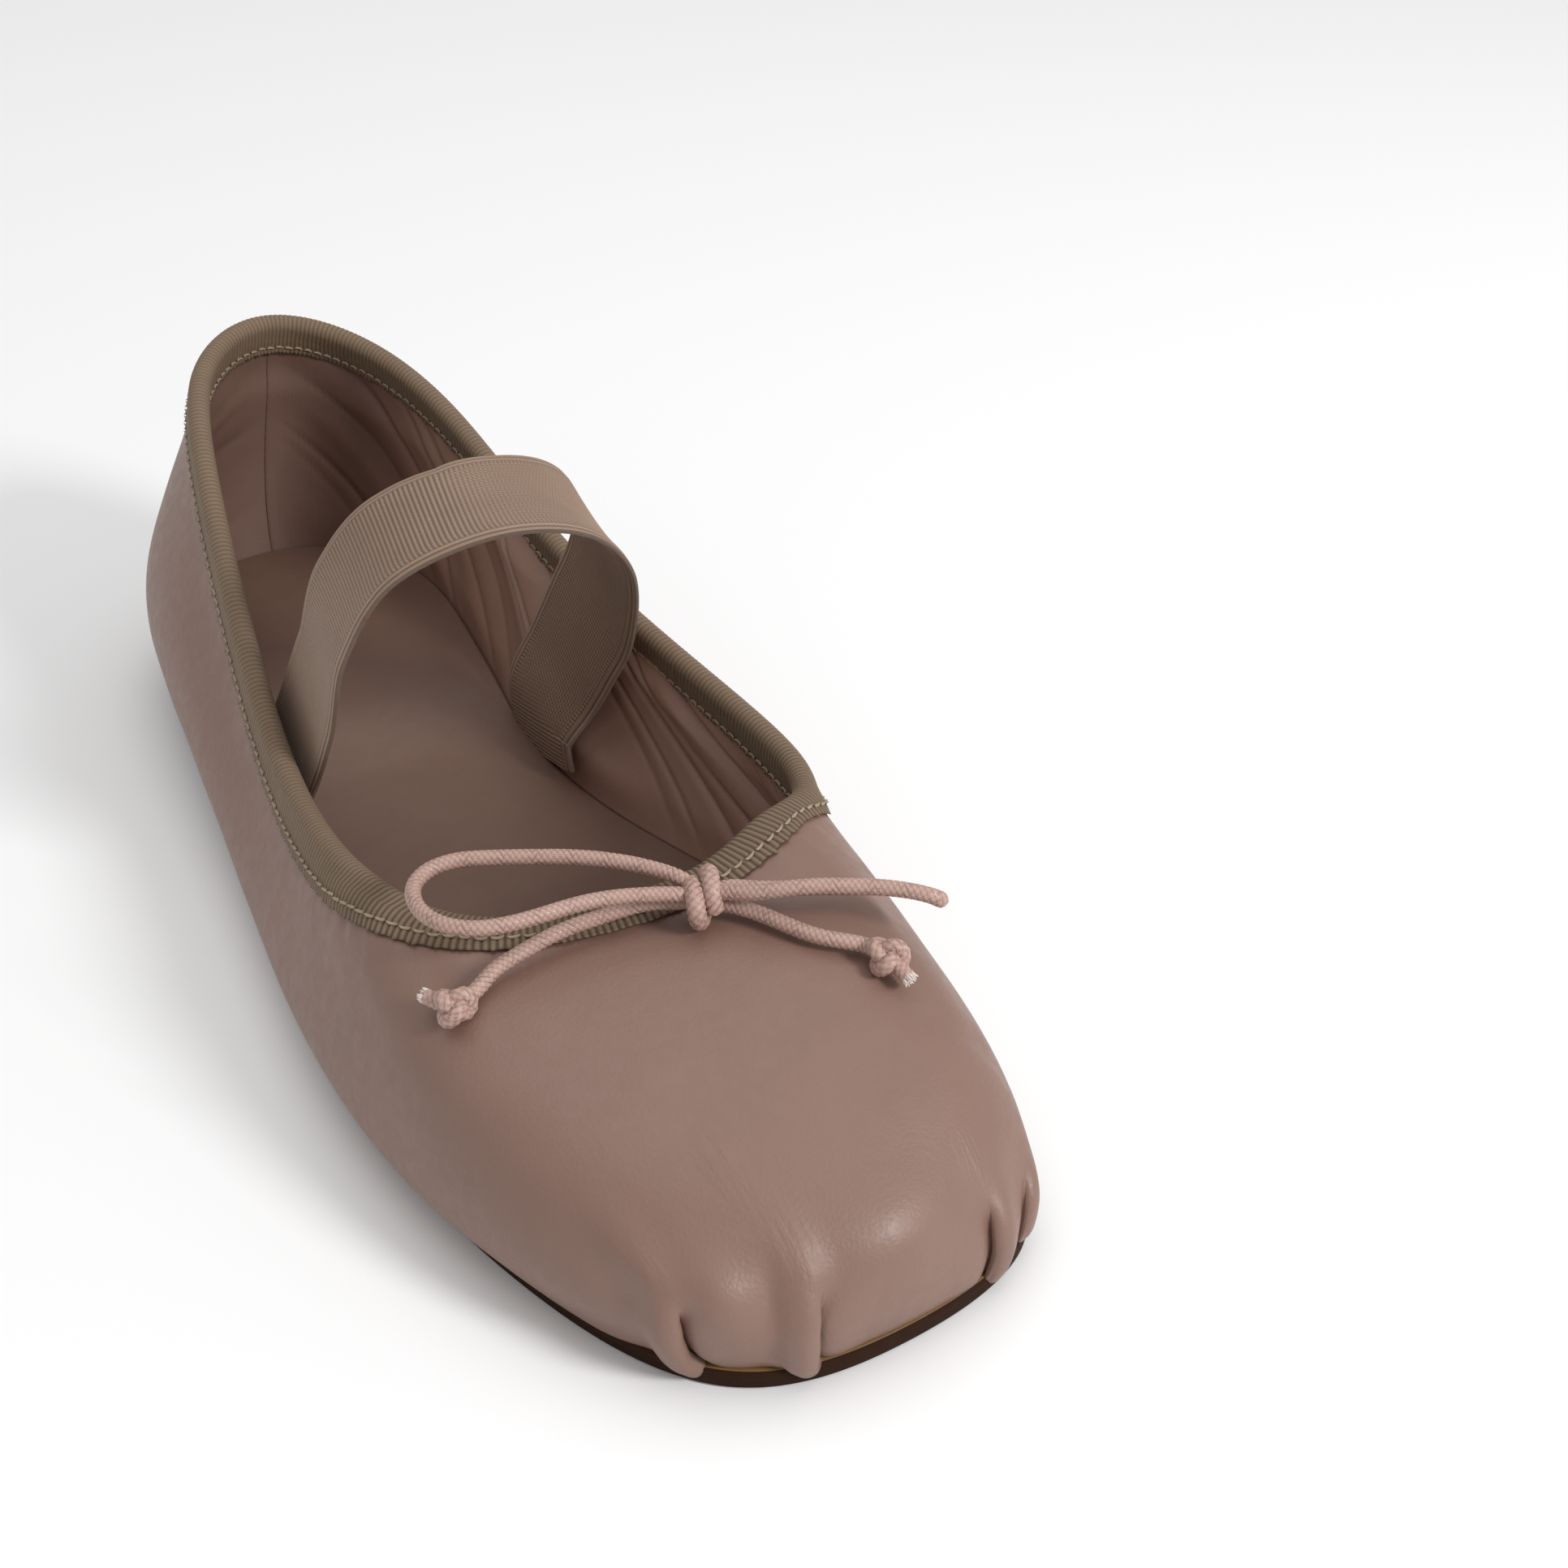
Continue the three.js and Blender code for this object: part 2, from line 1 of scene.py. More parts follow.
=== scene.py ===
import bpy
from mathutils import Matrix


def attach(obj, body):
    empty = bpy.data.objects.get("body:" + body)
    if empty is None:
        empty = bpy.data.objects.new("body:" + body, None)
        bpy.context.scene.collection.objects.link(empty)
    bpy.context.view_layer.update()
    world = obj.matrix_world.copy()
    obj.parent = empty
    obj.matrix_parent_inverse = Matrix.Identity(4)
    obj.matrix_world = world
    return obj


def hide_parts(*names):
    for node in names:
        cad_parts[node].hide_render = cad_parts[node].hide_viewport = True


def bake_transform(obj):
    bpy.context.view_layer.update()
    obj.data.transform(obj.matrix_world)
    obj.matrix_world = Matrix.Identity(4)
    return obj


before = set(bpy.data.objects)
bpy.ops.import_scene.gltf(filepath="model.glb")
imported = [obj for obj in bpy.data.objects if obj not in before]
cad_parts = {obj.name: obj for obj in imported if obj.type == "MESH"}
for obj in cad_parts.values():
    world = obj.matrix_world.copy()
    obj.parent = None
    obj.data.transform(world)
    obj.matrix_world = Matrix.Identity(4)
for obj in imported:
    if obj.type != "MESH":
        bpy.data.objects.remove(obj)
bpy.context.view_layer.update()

import math

import bpy
import numpy as np
from mathutils import Matrix

# A right-foot ballerina flat. Shapes are worked out in millimetres in the frame of the CAD source
# before centring, and turned into metres in the row frame when a mesh is made.
MM = 0.001
CENTRING = np.array([2.93, -0.32, 0.0])

# ---------------- camera
EYE = np.array([-111.2, -284.5, 223.0])
AZIMUTH = -0.5336
ELEVATION = 0.5874
ROLL = 0.0146
LENS = 48.84
SENSOR = 36.0


def add_facing(name, data, right, up, back, place):
    """Adds an object with those three directions as its own axes, at a place in metres."""
    made = bpy.data.objects.new(name, data)
    bpy.context.collection.objects.link(made)
    turn = np.eye(4)
    turn[:3] = np.stack([right, up, back, place], -1)
    made.matrix_world = Matrix(turn.tolist())
    return made


def place_camera():
    back = np.array([
        math.sin(AZIMUTH) * math.cos(ELEVATION),
        -math.cos(AZIMUTH) * math.cos(ELEVATION),
        math.sin(ELEVATION),
    ])
    level = np.array([math.cos(AZIMUTH), math.sin(AZIMUTH), 0.0])
    lift = np.cross(back, level)
    right = level * math.cos(ROLL) + lift * math.sin(ROLL)
    up = lift * math.cos(ROLL) - level * math.sin(ROLL)
    data = bpy.data.cameras.new("camera")
    data.lens = LENS
    data.sensor_width = SENSOR
    data.clip_start = 0.01
    bpy.context.scene.camera = add_facing("camera", data, right, up, back, (EYE + CENTRING) * MM)


place_camera()

# ---------------- the upper's surface, as in the CAD source
# One row per station: foot x, y; top x, y, z; low handle outward, up; high handle outward, down.
STATIONS = np.array([
    [4.5, -122, 5, -56.5, 36, 9, 21.5, 34, -3],
    [-20.5, -116, -21.5, -50, 34, 10, 19.5, 28, -0.5],
    [-35.5, -87, -32.5, -34, 34.5, 14, 6.5, 14, 4.5],
    [-42.5, -40, -35.5, -14.5, 33, 13, 8, 4, 11.5],
    [-38.5, 20, -32.5, 23, 35, 11, 12, 0.5, 15],
    [-33.5, 77.5, -22.5, 79, 53.5, 10.5, 20, 0, 17.5],
    [-23, 109, -11, 110, 61.5, 8.5, 18, 3.5, 17],
    [-1, 118, 5, 120.5, 63, 7.5, 20.5, 5, 16],
    [17.5, 108, 20.5, 110, 59.5, 7, 20, 4.5, 16],
    [25.5, 78, 28.5, 80, 53, 6.5, 18, 3.5, 14],
    [22, 17.5, 31.5, 35, 42.5, 6.5, 14, 4, 11],
    [37, -40, 37, -14, 37.5, 8, 14, 1, 11.5],
    [36, -85, 35.5, -43, 37.5, 6.5, 13.5, 1, 9.5],
    [30.5, -113.5, 21, -52.5, 39, 7, 15.5, 23, -3],
])
COUNT = len(STATIONS)
HEEL = 7
# Heights, thicknesses and gaps. A drop is an arc length below the crest of the topline.
FOREFOOT_SEAT = 3.5
HEEL_RAISE = 4.5
RAISE_START = -5
RAISE_END = 85
GAP = 0.3
LEATHER = 1.0
STIFFENER = 0.6
LINING = 0.7
RIBBON = 0.5
CORD_RADIUS = 1.1
CORD_DROP = 1.9
EDGE_DROP = 3.5
BINDING_OUT = 8.0
BINDING_IN = 7.5
THREAD_DROP = 5.5


def smooth(x, start, end):
    u = np.clip((x - start) / (end - start), 0, 1)
    return u * u * (3 - 2 * u)


def seat(y):
    return FOREFOOT_SEAT + HEEL_RAISE * smooth(y, RAISE_START, RAISE_END)


def spline_points(points):
    knots = points.copy()
    for _ in range(40):
        knots = knots + points - (np.roll(knots, 1, 0) + 4 * knots + np.roll(knots, -1, 0)) / 6
    return knots


KNOTS = spline_points(STATIONS)


def ring(s):
    """The station values at ring number s, which counts from the toe tip round by the outer side."""
    i = np.floor(s).astype(int)
    u = (s - i)[..., None]
    weights = ((1 - u) ** 3, 3 * u ** 3 - 6 * u * u + 4, -3 * u ** 3 + 3 * u * u + 3 * u + 1, u ** 3)
    return sum(w * KNOTS[(i + k - 1) % COUNT] for k, w in enumerate(weights)) / 6


def plan_normal(s, first):
    d = (ring(s + 0.02) - ring(s - 0.02))[..., first:first + 2]
    return np.stack([-d[..., 1], d[..., 0]], -1) / np.linalg.norm(d, axis=-1, keepdims=True)


def wall(s, t):
    """The outer face: t is 0 at the bottom edge and 1 at the crest of the topline."""
    s, t = np.broadcast_arrays(np.asarray(s, float), np.asarray(t, float))
    r = ring(s)
    foot, top, low, high = r[..., 0:2], r[..., 2:5], r[..., 5:7], r[..., 7:9]
    nf, nt = plan_normal(s, 0), plan_normal(s, 2)
    z = seat(foot[..., 1:2])
    p0 = np.concatenate([foot, z], -1)
    p1 = np.concatenate([foot + nf * low[..., :1], z + low[..., 1:]], -1)
    p2 = np.concatenate([top[..., :2] + nt * high[..., :1], top[..., 2:] - high[..., 1:]], -1)
    t = t[..., None]
    q = 1 - t
    return q ** 3 * p0 + 3 * q * q * t * p1 + 3 * q * t * t * p2 + t ** 3 * top


def unit(v):
    return v / np.maximum(np.linalg.norm(v, axis=-1, keepdims=True), 1e-9)


def lengths(line):
    """Arc length from the start of a line of points to each of its points."""
    return np.concatenate([[0], np.cumsum(np.linalg.norm(np.diff(line, axis=0), axis=1))])


def bell(x, width):
    """1 where x is 0, and falling off smoothly within about that width."""
    return np.exp(-(x / width) ** 2)


def wall_normal(s, t):
    across = wall(s + 0.02, t) - wall(s - 0.02, t)
    up = wall(s, np.minimum(1, t + 0.01)) - wall(s, np.maximum(0, t - 0.01))
    return unit(np.cross(up, across))


def skin(s, t, depth):
    return wall(s, t) - wall_normal(s, t) * np.asarray(depth)[..., None]


class Rim:
    """A run of ring numbers with the arc lengths of their sections."""

    def __init__(self, s):
        self.s = s
        self.t = np.linspace(1, 0, 241)
        p = wall(s[:, None], self.t[None])
        step = np.linalg.norm(np.diff(p, axis=1), axis=2)
        self.run = np.concatenate([np.zeros((len(s), 1)), np.cumsum(step, 1)], 1)

    def below(self, drop):
        """t at that arc length below the crest, for each section."""
        drop = np.asarray(drop, float)
        if drop.ndim < 2:
            drop = np.broadcast_to(drop, (len(self.s),))[:, None]
        drop = np.broadcast_to(drop, (len(self.s), drop.shape[1]))
        return np.array([np.interp(d, r, self.t) for d, r in zip(drop, self.run)])

    def drop_at(self, t):
        return np.array([np.interp(1 - row, 1 - self.t, r) for row, r in zip(t, self.run)])

    def length(self):
        return self.run[:, -1]

    def at_rise(self, depth, rise):
        """t where the face at that depth reaches a height above the seat."""
        low = np.zeros(len(self.s))
        high = np.full(len(self.s), 0.6)
        goal = seat(ring(self.s)[:, 1]) + rise
        for _ in range(24):
            mid = (low + high) / 2
            under = skin(self.s, mid, depth)[:, 2] < goal
            low, high = np.where(under, mid, low), np.where(under, high, mid)
        return high


def even_ring(count, drop):
    """Ring numbers at even steps of arc length along the line that lies drop below the crest."""
    s = np.linspace(0, COUNT, 1401)
    run = lengths(wall(s, Rim(s).below(drop)[:, 0]))
    return np.interp(np.linspace(0, run[-1], count + 1), run, s)[:-1], run[-1]


def waves(x, span, length, seed, parts=7):
    """Smooth noise from -1 to 1 with about that wavelength, which repeats after span."""
    draw = np.random.default_rng(seed)
    total = np.zeros_like(x)
    for _ in range(parts):
        cycles = max(1, round(span / length * draw.uniform(0.55, 1.5)))
        total += np.sin(math.tau * cycles * x / span + draw.uniform(0, math.tau))
    return total / math.sqrt(parts / 2) / 1.7


# ---------------- meshes from rows of points
class Shape:
    """Collects quads in millimetres with UVs in millimetres, and a relief value from 0 to 1, which also sets
    painted shade where it is low.
    """

    def __init__(self):
        self.points, self.faces, self.uvs, self.relief, self.slots = [], [], [], [], []
        self.count = 0

    def grid(self, p, u, v, around=False, along=False, relief=None, slot=0, caps=False):
        """p is rows by columns by 3. around joins the last column to the first, along the rows."""
        n, m = p.shape[:2]
        rows, cols = n - (not along), m - (not around)
        i, j = np.meshgrid(np.arange(rows), np.arange(cols), indexing="ij")
        corner = [(i, j), (i, j + 1), (i + 1, j + 1), (i + 1, j)]
        faces = np.stack([(a % n) * m + b % m for a, b in corner], -1).reshape(-1, 4)
        u = np.broadcast_to(u if np.ndim(u) == 2 else np.asarray(u)[:, None], (rows + 1, cols + 1))
        v = np.broadcast_to(v, (rows + 1, cols + 1))
        uv = np.stack([np.stack([u[a, b], v[a, b]], -1) for a, b in corner], -2).reshape(-1, 4, 2)
        flat = p.reshape(-1, 3)
        a, b, c, d = (flat[faces[:, k]] - flat.mean(0) for k in range(4))
        volume = (np.einsum("ij,ij->i", a, np.cross(b, c)) + np.einsum("ij,ij->i", a, np.cross(c, d))).sum()
        if volume < 0:
            faces, uv = faces[:, ::-1], uv[:, ::-1]
        self.points.append(flat)
        self.faces += (faces + self.count).tolist()
        self.uvs.append(uv.reshape(-1, 2))
        self.slots.append(np.full(len(faces), slot))
        if caps:
            for row, turn in ((0, 1), (n - 1, -1)):
                loop = (np.arange(m) + row * m + self.count)[::turn if volume < 0 else -turn]
                self.faces.append(loop.tolist())
                self.uvs.append(np.zeros((m, 2)))
                self.slots.append(np.array([slot]))
        self.relief.append(np.full(len(flat), 1.0) if relief is None else np.clip(relief, 0, 1).reshape(-1))
        self.count += len(flat)
        return self

    def build(self, name, materials, body, stands_for, slot):
        """Makes the mesh one piece that rides on a body when one is given, and hides the parts that it stands
        for.
        """
        mesh = bpy.data.meshes.new(name)
        points = (np.concatenate(self.points) + CENTRING) * MM
        mesh.from_pydata(points.tolist(), [], self.faces)
        layer = mesh.uv_layers.new(name="uv")
        layer.data.foreach_set("uv", np.concatenate(self.uvs).astype(np.float32).ravel())
        relief = mesh.attributes.new("relief", "FLOAT", "POINT")
        relief.data.foreach_set("value", np.concatenate(self.relief).astype(np.float32))
        for material in materials:
            mesh.materials.append(material)
        mesh.polygons.foreach_set("material_index", np.concatenate(self.slots).astype(np.int32))
        mesh.shade_smooth()
        mesh.update()
        piece = bpy.data.objects.new(name, mesh)
        bpy.context.collection.objects.link(piece)
        if body:
            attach(piece, body)
        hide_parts(*stands_for)
        return piece


# ---------------- materials
def colour(r, g, b):
    """A colour given as 0 to 255 in sRGB, as the linear RGBA that the shader takes."""
    c = np.array([r, g, b]) / 255
    linear = np.where(c <= 0.04045, c / 12.92, ((c + 0.055) / 1.055) ** 2.4)
    return (*linear.tolist(), 1.0)


class Paint:
    """A procedural material: patches of colour, fine grain, woven threads, and painted shade in recesses and
    between threads.
    """

    def __init__(self, name, light, dark, rough, **values):
        self.material = bpy.data.materials.new(name)
        self.material.use_nodes = True
        self.tree = self.material.node_tree
        self.shader = self.tree.nodes["Principled BSDF"]
        for key, value in values.items():
            self.shader.inputs[key.replace("_", " ")].default_value = value
        place = self.node("TexCoord").outputs["Object"]
        self.place = self.node("VectorMath", {0: place, 3: 1 / MM}, operation="SCALE").outputs[0]
        self.uv = self.node("UVMap", uv_map="uv").outputs[0]
        self.split = self.node("SeparateXYZ", {0: self.uv})
        self.relief = self.node("Attribute", attribute_name="relief").outputs["Fac"]
        self.normal = None
        self.tint = self.mix(self.noise(9.0, 5), colour(*dark), colour(*light))
        self.rough = self.mapped(self.noise(2.2, 4), rough - 0.05, rough + 0.07)

    def node(self, kind, inputs=None, **props):
        made = self.tree.nodes.new("ShaderNode" + kind)
        for key, value in props.items():
            setattr(made, key, value)
        for key, value in (inputs or {}).items():
            if isinstance(value, bpy.types.NodeSocket):
                self.tree.links.new(value, made.inputs[key])
            else:
                made.inputs[key].default_value = value
        return made

    def noise(self, size, detail=3, vector=None):
        inputs = {"Vector": vector or self.place, "Scale": 1 / size, "Detail": detail}
        return self.node("TexNoise", inputs).outputs["Fac"]

    def mapped(self, value, low, high, start=0.3, end=0.7):
        inputs = {0: value, 1: start, 2: end, 3: low, 4: high}
        return self.node("MapRange", inputs).outputs[0]

    def mix(self, factor, a, b):
        inputs = {0: factor, 6: a, 7: b}
        return self.node("Mix", inputs, data_type="RGBA").outputs[2]

    def math(self, operation, a, b=0.0):
        return self.node("Math", {0: a, 1: b}, operation=operation).outputs[0]

    def stretched(self, along, across):
        scale = (1 / along, 1 / across, 1.0)
        return self.node("VectorMath", {0: self.uv, 1: scale}, operation="MULTIPLY").outputs[0]

    def bump(self, value, depth):
        inputs = {"Height": value, "Distance": depth * MM, "Strength": 1.0}
        if self.normal:
            inputs["Normal"] = self.normal
        self.normal = self.node("Bump", inputs).outputs[0]
        return self

    def grain(self, size, depth):
        """Fine leather cells."""
        cells = self.node("TexVoronoi", {"Vector": self.place, "Scale": 1 / size}, feature="SMOOTH_F1")
        return self.bump(cells.outputs["Distance"], depth).bump(self.noise(size * 0.45, 2), depth * 0.7)

    def threads(self, pitch, axis, depth, shade=0.0):
        """Fine ridges at that pitch along U (axis 0) or V (axis 1), with painted shade between them by the
        amount shade.
        """
        wobble = self.math("MULTIPLY", self.noise(1.6, 2), 0.25 * pitch)
        line = self.math("ADD", self.split.outputs[axis], wobble)
        wave = self.math("SINE", self.math("MULTIPLY", line, math.tau / pitch))
        if shade:
            # painted shade between the ridges: black mixed in by shade
            self.tint = self.mix(self.mapped(wave, shade, 0.0, -1, 1), self.tint, colour(0, 0, 0))
        return self.bump(self.mapped(wave, 0, 1, -1, 1), depth)

    def creases(self, along, across, depth, masked=True):
        """Long fine creases, only where the relief value is low when masked."""
        lines = self.noise(1.0, 4, self.stretched(along, across))
        if masked:
            lines = self.math("MULTIPLY", lines, self.mapped(self.relief, 1, 0, 0.3, 0.75))
        return self.bump(lines, depth)

    def paint_hollow_shade(self, shade, start=0.0, end=0.6):
        """Painted shade: darker where the relief value is low, as in creases, slits and between ribs."""
        # painted shade colour, mixed in where the relief value is low
        self.tint = self.mix(self.mapped(self.relief, shade, 0, start, end), self.tint, colour(18, 10, 8))
        return self

    def specks(self, light, size, share):
        """A scatter of lighter or darker fibres."""
        spots = self.mapped(self.noise(size, 5), 0, 1, 0.62, 0.74)
        self.tint = self.mix(self.math("MULTIPLY", spots, share), self.tint, colour(*light))
        return self

    def done(self):
        self.tree.links.new(self.tint, self.shader.inputs["Base Color"])
        self.tree.links.new(self.rough, self.shader.inputs["Roughness"])
        if self.normal:
            self.tree.links.new(self.normal, self.shader.inputs["Normal"])
        return self.material


NAPPA = (Paint("nappa", (132, 102, 90), (125, 96, 84), 0.46, Specular_IOR_Level=0.55)
         .grain(0.55, 0.04).creases(0.8, 6.0, 0.3).paint_hollow_shade(0.75, 0.0, 0.38).done())
LINING_LEATHER = (Paint("lining_leather", (160, 125, 110), (145, 111, 96), 0.5, Specular_IOR_Level=0.4)
                  .grain(0.5, 0.02).creases(1.6, 14.0, 0.05, False).paint_hollow_shade(0.7, 0.0, 0.7).done())
SOCK_LEATHER = (Paint("sock_leather", (114, 87, 74), (104, 79, 66), 0.48, Specular_IOR_Level=0.4)
                .grain(0.5, 0.02).paint_hollow_shade(0.4, 0.0, 0.5).done())
VAMP_CLOTH = (Paint("vamp_cloth", (170, 150, 136), (155, 136, 122), 0.85, Sheen_Weight=0.2)
              .threads(0.5, 0, 0.05, 0.15).threads(0.5, 1, 0.05, 0.15).done())
GROSGRAIN = (Paint("grosgrain", (134, 112, 88), (120, 98, 76), 0.72, Sheen_Weight=0.08, Sheen_Roughness=0.4)
             .threads(0.3, 1, 0.03, 0.12).paint_hollow_shade(0.75, 0.0, 0.9).specks((150, 128, 106), 0.8, 0.15).done())
ELASTIC = (Paint("elastic", (166, 137, 115), (151, 123, 103), 0.74, Sheen_Weight=0.08, Sheen_Roughness=0.4)
           .threads(0.7, 1, 0.05, 0.25).paint_hollow_shade(0.6, 0.0, 0.85).specks((176, 152, 136), 0.7, 0.2).done())
CORD = (Paint("braided_cord", (203, 168, 155), (188, 151, 138), 0.5, Specular_IOR_Level=0.5, Coat_Weight=0.15)
        .threads(0.22, 1, 0.03, 0.1).paint_hollow_shade(0.62, 0.0, 0.8).done())
FIBRE = Paint("cotton_fibre", (236, 226, 218), (214, 202, 194), 0.8, Sheen_Weight=0.3).grain(0.3, 0.02).done()
THREAD = (Paint("stitch_thread", (186, 168, 142), (150, 132, 110), 0.55)
          .threads(0.3, 0, 0.04, 0.3).done())
SOLE_EDGE = (Paint("sole_edge", (50, 27, 13), (37, 19, 9), 0.7, Specular_IOR_Level=0.12)
             .creases(9.0, 0.35, 0.12, False).grain(0.4, 0.02).done())
SOLE_TOP = (Paint("sole_top", (128, 98, 50), (104, 78, 38), 0.6)
            .grain(0.5, 0.03).specks((90, 60, 30), 2.0, 0.4).done())
SOLE_TREAD = (Paint("sole_tread", (92, 66, 46), (72, 50, 34), 0.7)
              .grain(0.9, 0.05).creases(12.0, 1.2, 0.12, False).specks((40, 30, 24), 3.0, 0.5).done())
TIP_RUBBER = (Paint("tip_rubber", (50, 40, 33), (38, 30, 25), 0.75)
              .grain(1.1, 0.12).specks((86, 74, 64), 1.5, 0.3).done())
BOARD = (Paint("fibre_board", (176, 150, 116), (158, 132, 100), 0.85)
         .grain(0.8, 0.05).specks((120, 96, 70), 1.2, 0.5).done())
CORK = (Paint("cork", (168, 130, 90), (142, 106, 70), 0.9)
        .grain(1.4, 0.15).specks((84, 60, 38), 1.0, 0.7).done())
STEEL = (Paint("shank_steel", (150, 150, 152), (128, 128, 130), 0.35, Metallic=1.0)
         .creases(0.3, 12.0, 0.02, False).grain(0.5, 0.004).done())
FOAM = (Paint("latex_foam", (214, 204, 186), (198, 188, 168), 0.9)
        .grain(0.5, 0.15).specks((150, 138, 120), 0.6, 0.5).done())
STIFF_CLOTH = (Paint("stiffener_cloth", (184, 162, 130), (168, 146, 114), 0.85)
               .grain(0.4, 0.06).specks((214, 200, 176), 0.7, 0.4).done())

for nodes, material in (
    (("insole_board",), BOARD),
    (("bottom_filler",), CORK),
    (("shank",), STEEL),
    (("heel_cushion",), FOAM),
    (("heel_counter", "toe_puff"), STIFF_CLOTH),
    (("drawcord",), CORD),
):
    for node in nodes:
        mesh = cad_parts[node].data
        mesh.materials.clear()
        mesh.materials.append(material)


# ---------------- bow of braided cord
KNOT = np.array([3.6, -67.6, 39.8])
ROUTES = {
    "loop_left": [
        [1.9, -64.6, 42.0], [-0.8, -60.9, 42.4], [-4.8, -56.8, 42.6], [-9.9, -52.8, 42.6],
        [-14.6, -49.8, 42.4], [-19.4, -47.0, 42.2], [-24.6, -44.6, 42.0], [-28.8, -44.6, 41.8],
        [-32.0, -46.8, 41.6], [-33.4, -50.4, 41.6], [-33.2, -54.6, 41.6], [-31.4, -58.4, 41.8],
        [-28.2, -61.0, 41.9], [-24.4, -62.2, 42.0], [-20.2, -62.6, 42.0], [-15.8, -62.8, 42.1],
        [-11.8, -63.2, 42.1], [-7.6, -64.2, 42.0], [-3.6, -65.6, 41.8], [0.0, -66.9, 41.4],
    ],
    "loop_right": [
        [6.0, -70.2, 41.8], [9.0, -73.6, 42.8], [12.6, -76.0, 43.8], [16.6, -78.2, 44.2], [20.6, -80.6, 44.3],
        [24.6, -83.0, 44.2], [28.2, -85.6, 43.8], [30.8, -87.2, 42.9], [32.0, -86.6, 41.6],
        [31.9, -84.4, 40.9], [30.0, -82.0, 40.9], [26.5, -79.6, 41.2], [22.5, -77.2, 41.2],
        [18.5, -74.8, 41.1], [14.5, -72.6, 40.9], [10.8, -70.0, 40.6], [7.6, -67.6, 40.4],
    ],
    "tail_left": [
        [0.6, -65.9, 39.2], [-2.9, -63.8, 38.9], [-6.3, -62.7, 38.4], [-10.5, -62.0, 37.8],
        [-14.5, -61.6, 37.4], [-18.1, -61.7, 37.0], [-21.5, -62.1, 36.5], [-24.5, -62.5, 36.0],
        [-27.2, -63.1, 35.5], [-30.9, -64.8, 34.4],
    ],
    "tail_right": [
        [6.4, -69.8, 39.2], [8.9, -72.7, 39.0], [10.6, -75.3, 38.8], [12.0, -77.7, 38.6], [13.5, -80.1, 38.4],
        [15.3, -82.2, 38.2], [18.0, -84.2, 37.8], [20.0, -85.5, 37.3],
    ],
}
END_KNOTS = {"left": np.array([-34.4, -65.9, 34.0]), "right": np.array([21.5, -89.0, 37.2])}
CUT_ENDS = {"left": np.array([-37.3, -61.9, 34.2]), "right": np.array([22.6, -93.4, 35.6])}
END_KNOT_SIZE = 0.7
FRAY_SEEDS = {"left": 11, "right": 12}
STEP = 0.22  # between two rings of a cord's mesh
ROUND = 20  # points round a cord
STRANDS = 5
BRAID_PITCH = 4.6


def catmull_rom(points, per_span=24):
    """The centripetal curve through the points, with extra end points mirrored outwards."""
    p = np.asarray(points, float)
    p = np.vstack([2 * p[0] - p[1], p, 2 * p[-1] - p[-2]])
    knots = np.concatenate([[0], np.cumsum(np.linalg.norm(np.diff(p, axis=0), axis=1) ** 0.5)])
    out = []
    for i in range(1, len(p) - 2):
        k = knots[i - 1:i + 3]
        t = np.linspace(k[1], k[2], per_span, endpoint=False)[:, None]
        a = [((k[j + 1] - t) * p[i - 1 + j] + (t - k[j]) * p[i + j]) / (k[j + 1] - k[j]) for j in range(3)]
        b = [((k[j + 2] - t) * a[j] + (t - k[j]) * a[j + 1]) / (k[j + 2] - k[j]) for j in range(2)]
        out.append(((k[2] - t) * b[0] + (t - k[1]) * b[1]) / (k[2] - k[1]))
    return np.vstack([*out, p[-2:-1]])


def softened(values, reach):
    """The values averaged over that many neighbours on each side, with both ends kept."""
    weights = np.hanning(2 * reach + 3)[1:-1]
    ends = [2 * values[0] - values[reach:0:-1], values, 2 * values[-1] - values[-2:-reach - 2:-1]]
    return np.convolve(np.concatenate(ends), weights / weights.sum(), "valid")


def resample(path, step, soften=0.0):
    run = lengths(path)
    goal = np.linspace(0, run[-1], max(8, round(run[-1] / step)) + 1)
    reach = int(soften / step)
    return np.stack([softened(np.interp(goal, run, path[:, k]), reach) for k in range(3)], -1)


def carried_frames(path):
    """Two sideways directions along a path, without twist."""
    tangent = unit(np.gradient(path, axis=0))
    side = np.cross(tangent[0], [0.0, 0.0, 1.0])
    sides = []
    for t in tangent:
        side = side - t * side.dot(t)
        side = side / np.linalg.norm(side)
        sides.append(side)
    sides = np.array(sides)
    return sides, np.cross(tangent, sides)


def braid(shape, path, radius, slot=0):
    """A round braided cord: strands cross over and under each other in both directions."""
    run = lengths(path)
    side, up = carried_frames(path)
    angle = np.linspace(0, math.tau, ROUND, endpoint=False)
    turn = np.linspace(0, 1, ROUND + 1)
    along = run[:, None] / BRAID_PITCH * STRANDS
    left, right = turn[None] * STRANDS + along, turn[None] * STRANDS - along
    over = (np.floor(left) + np.floor(right)) % 2 == 0
    left, right = np.abs(np.sin(math.pi * left)), np.abs(np.sin(math.pi * right))
    crown = np.where(over, left, right) ** 0.7 * (0.55 + 0.45 * np.where(over, right, left))
    height = (radius - 0.12 + 0.24 * crown[:, :-1])[..., None]
    ends = smooth(run, -0.6, 0.5) * smooth(run[-1] - run, -0.6, 0.5)
    circle = np.cos(angle)[None, :, None] * side[:, None] + np.sin(angle)[None, :, None] * up[:, None]
    points = path[:, None] + circle * height * ends[:, None, None]
    v = turn * math.tau * radius
    # the strands' crown is the relief value, so the material paints shade between strands
    shape.grid(points, run, v, around=True, relief=crown[:, :-1], slot=slot, caps=True)
    return run[-1]


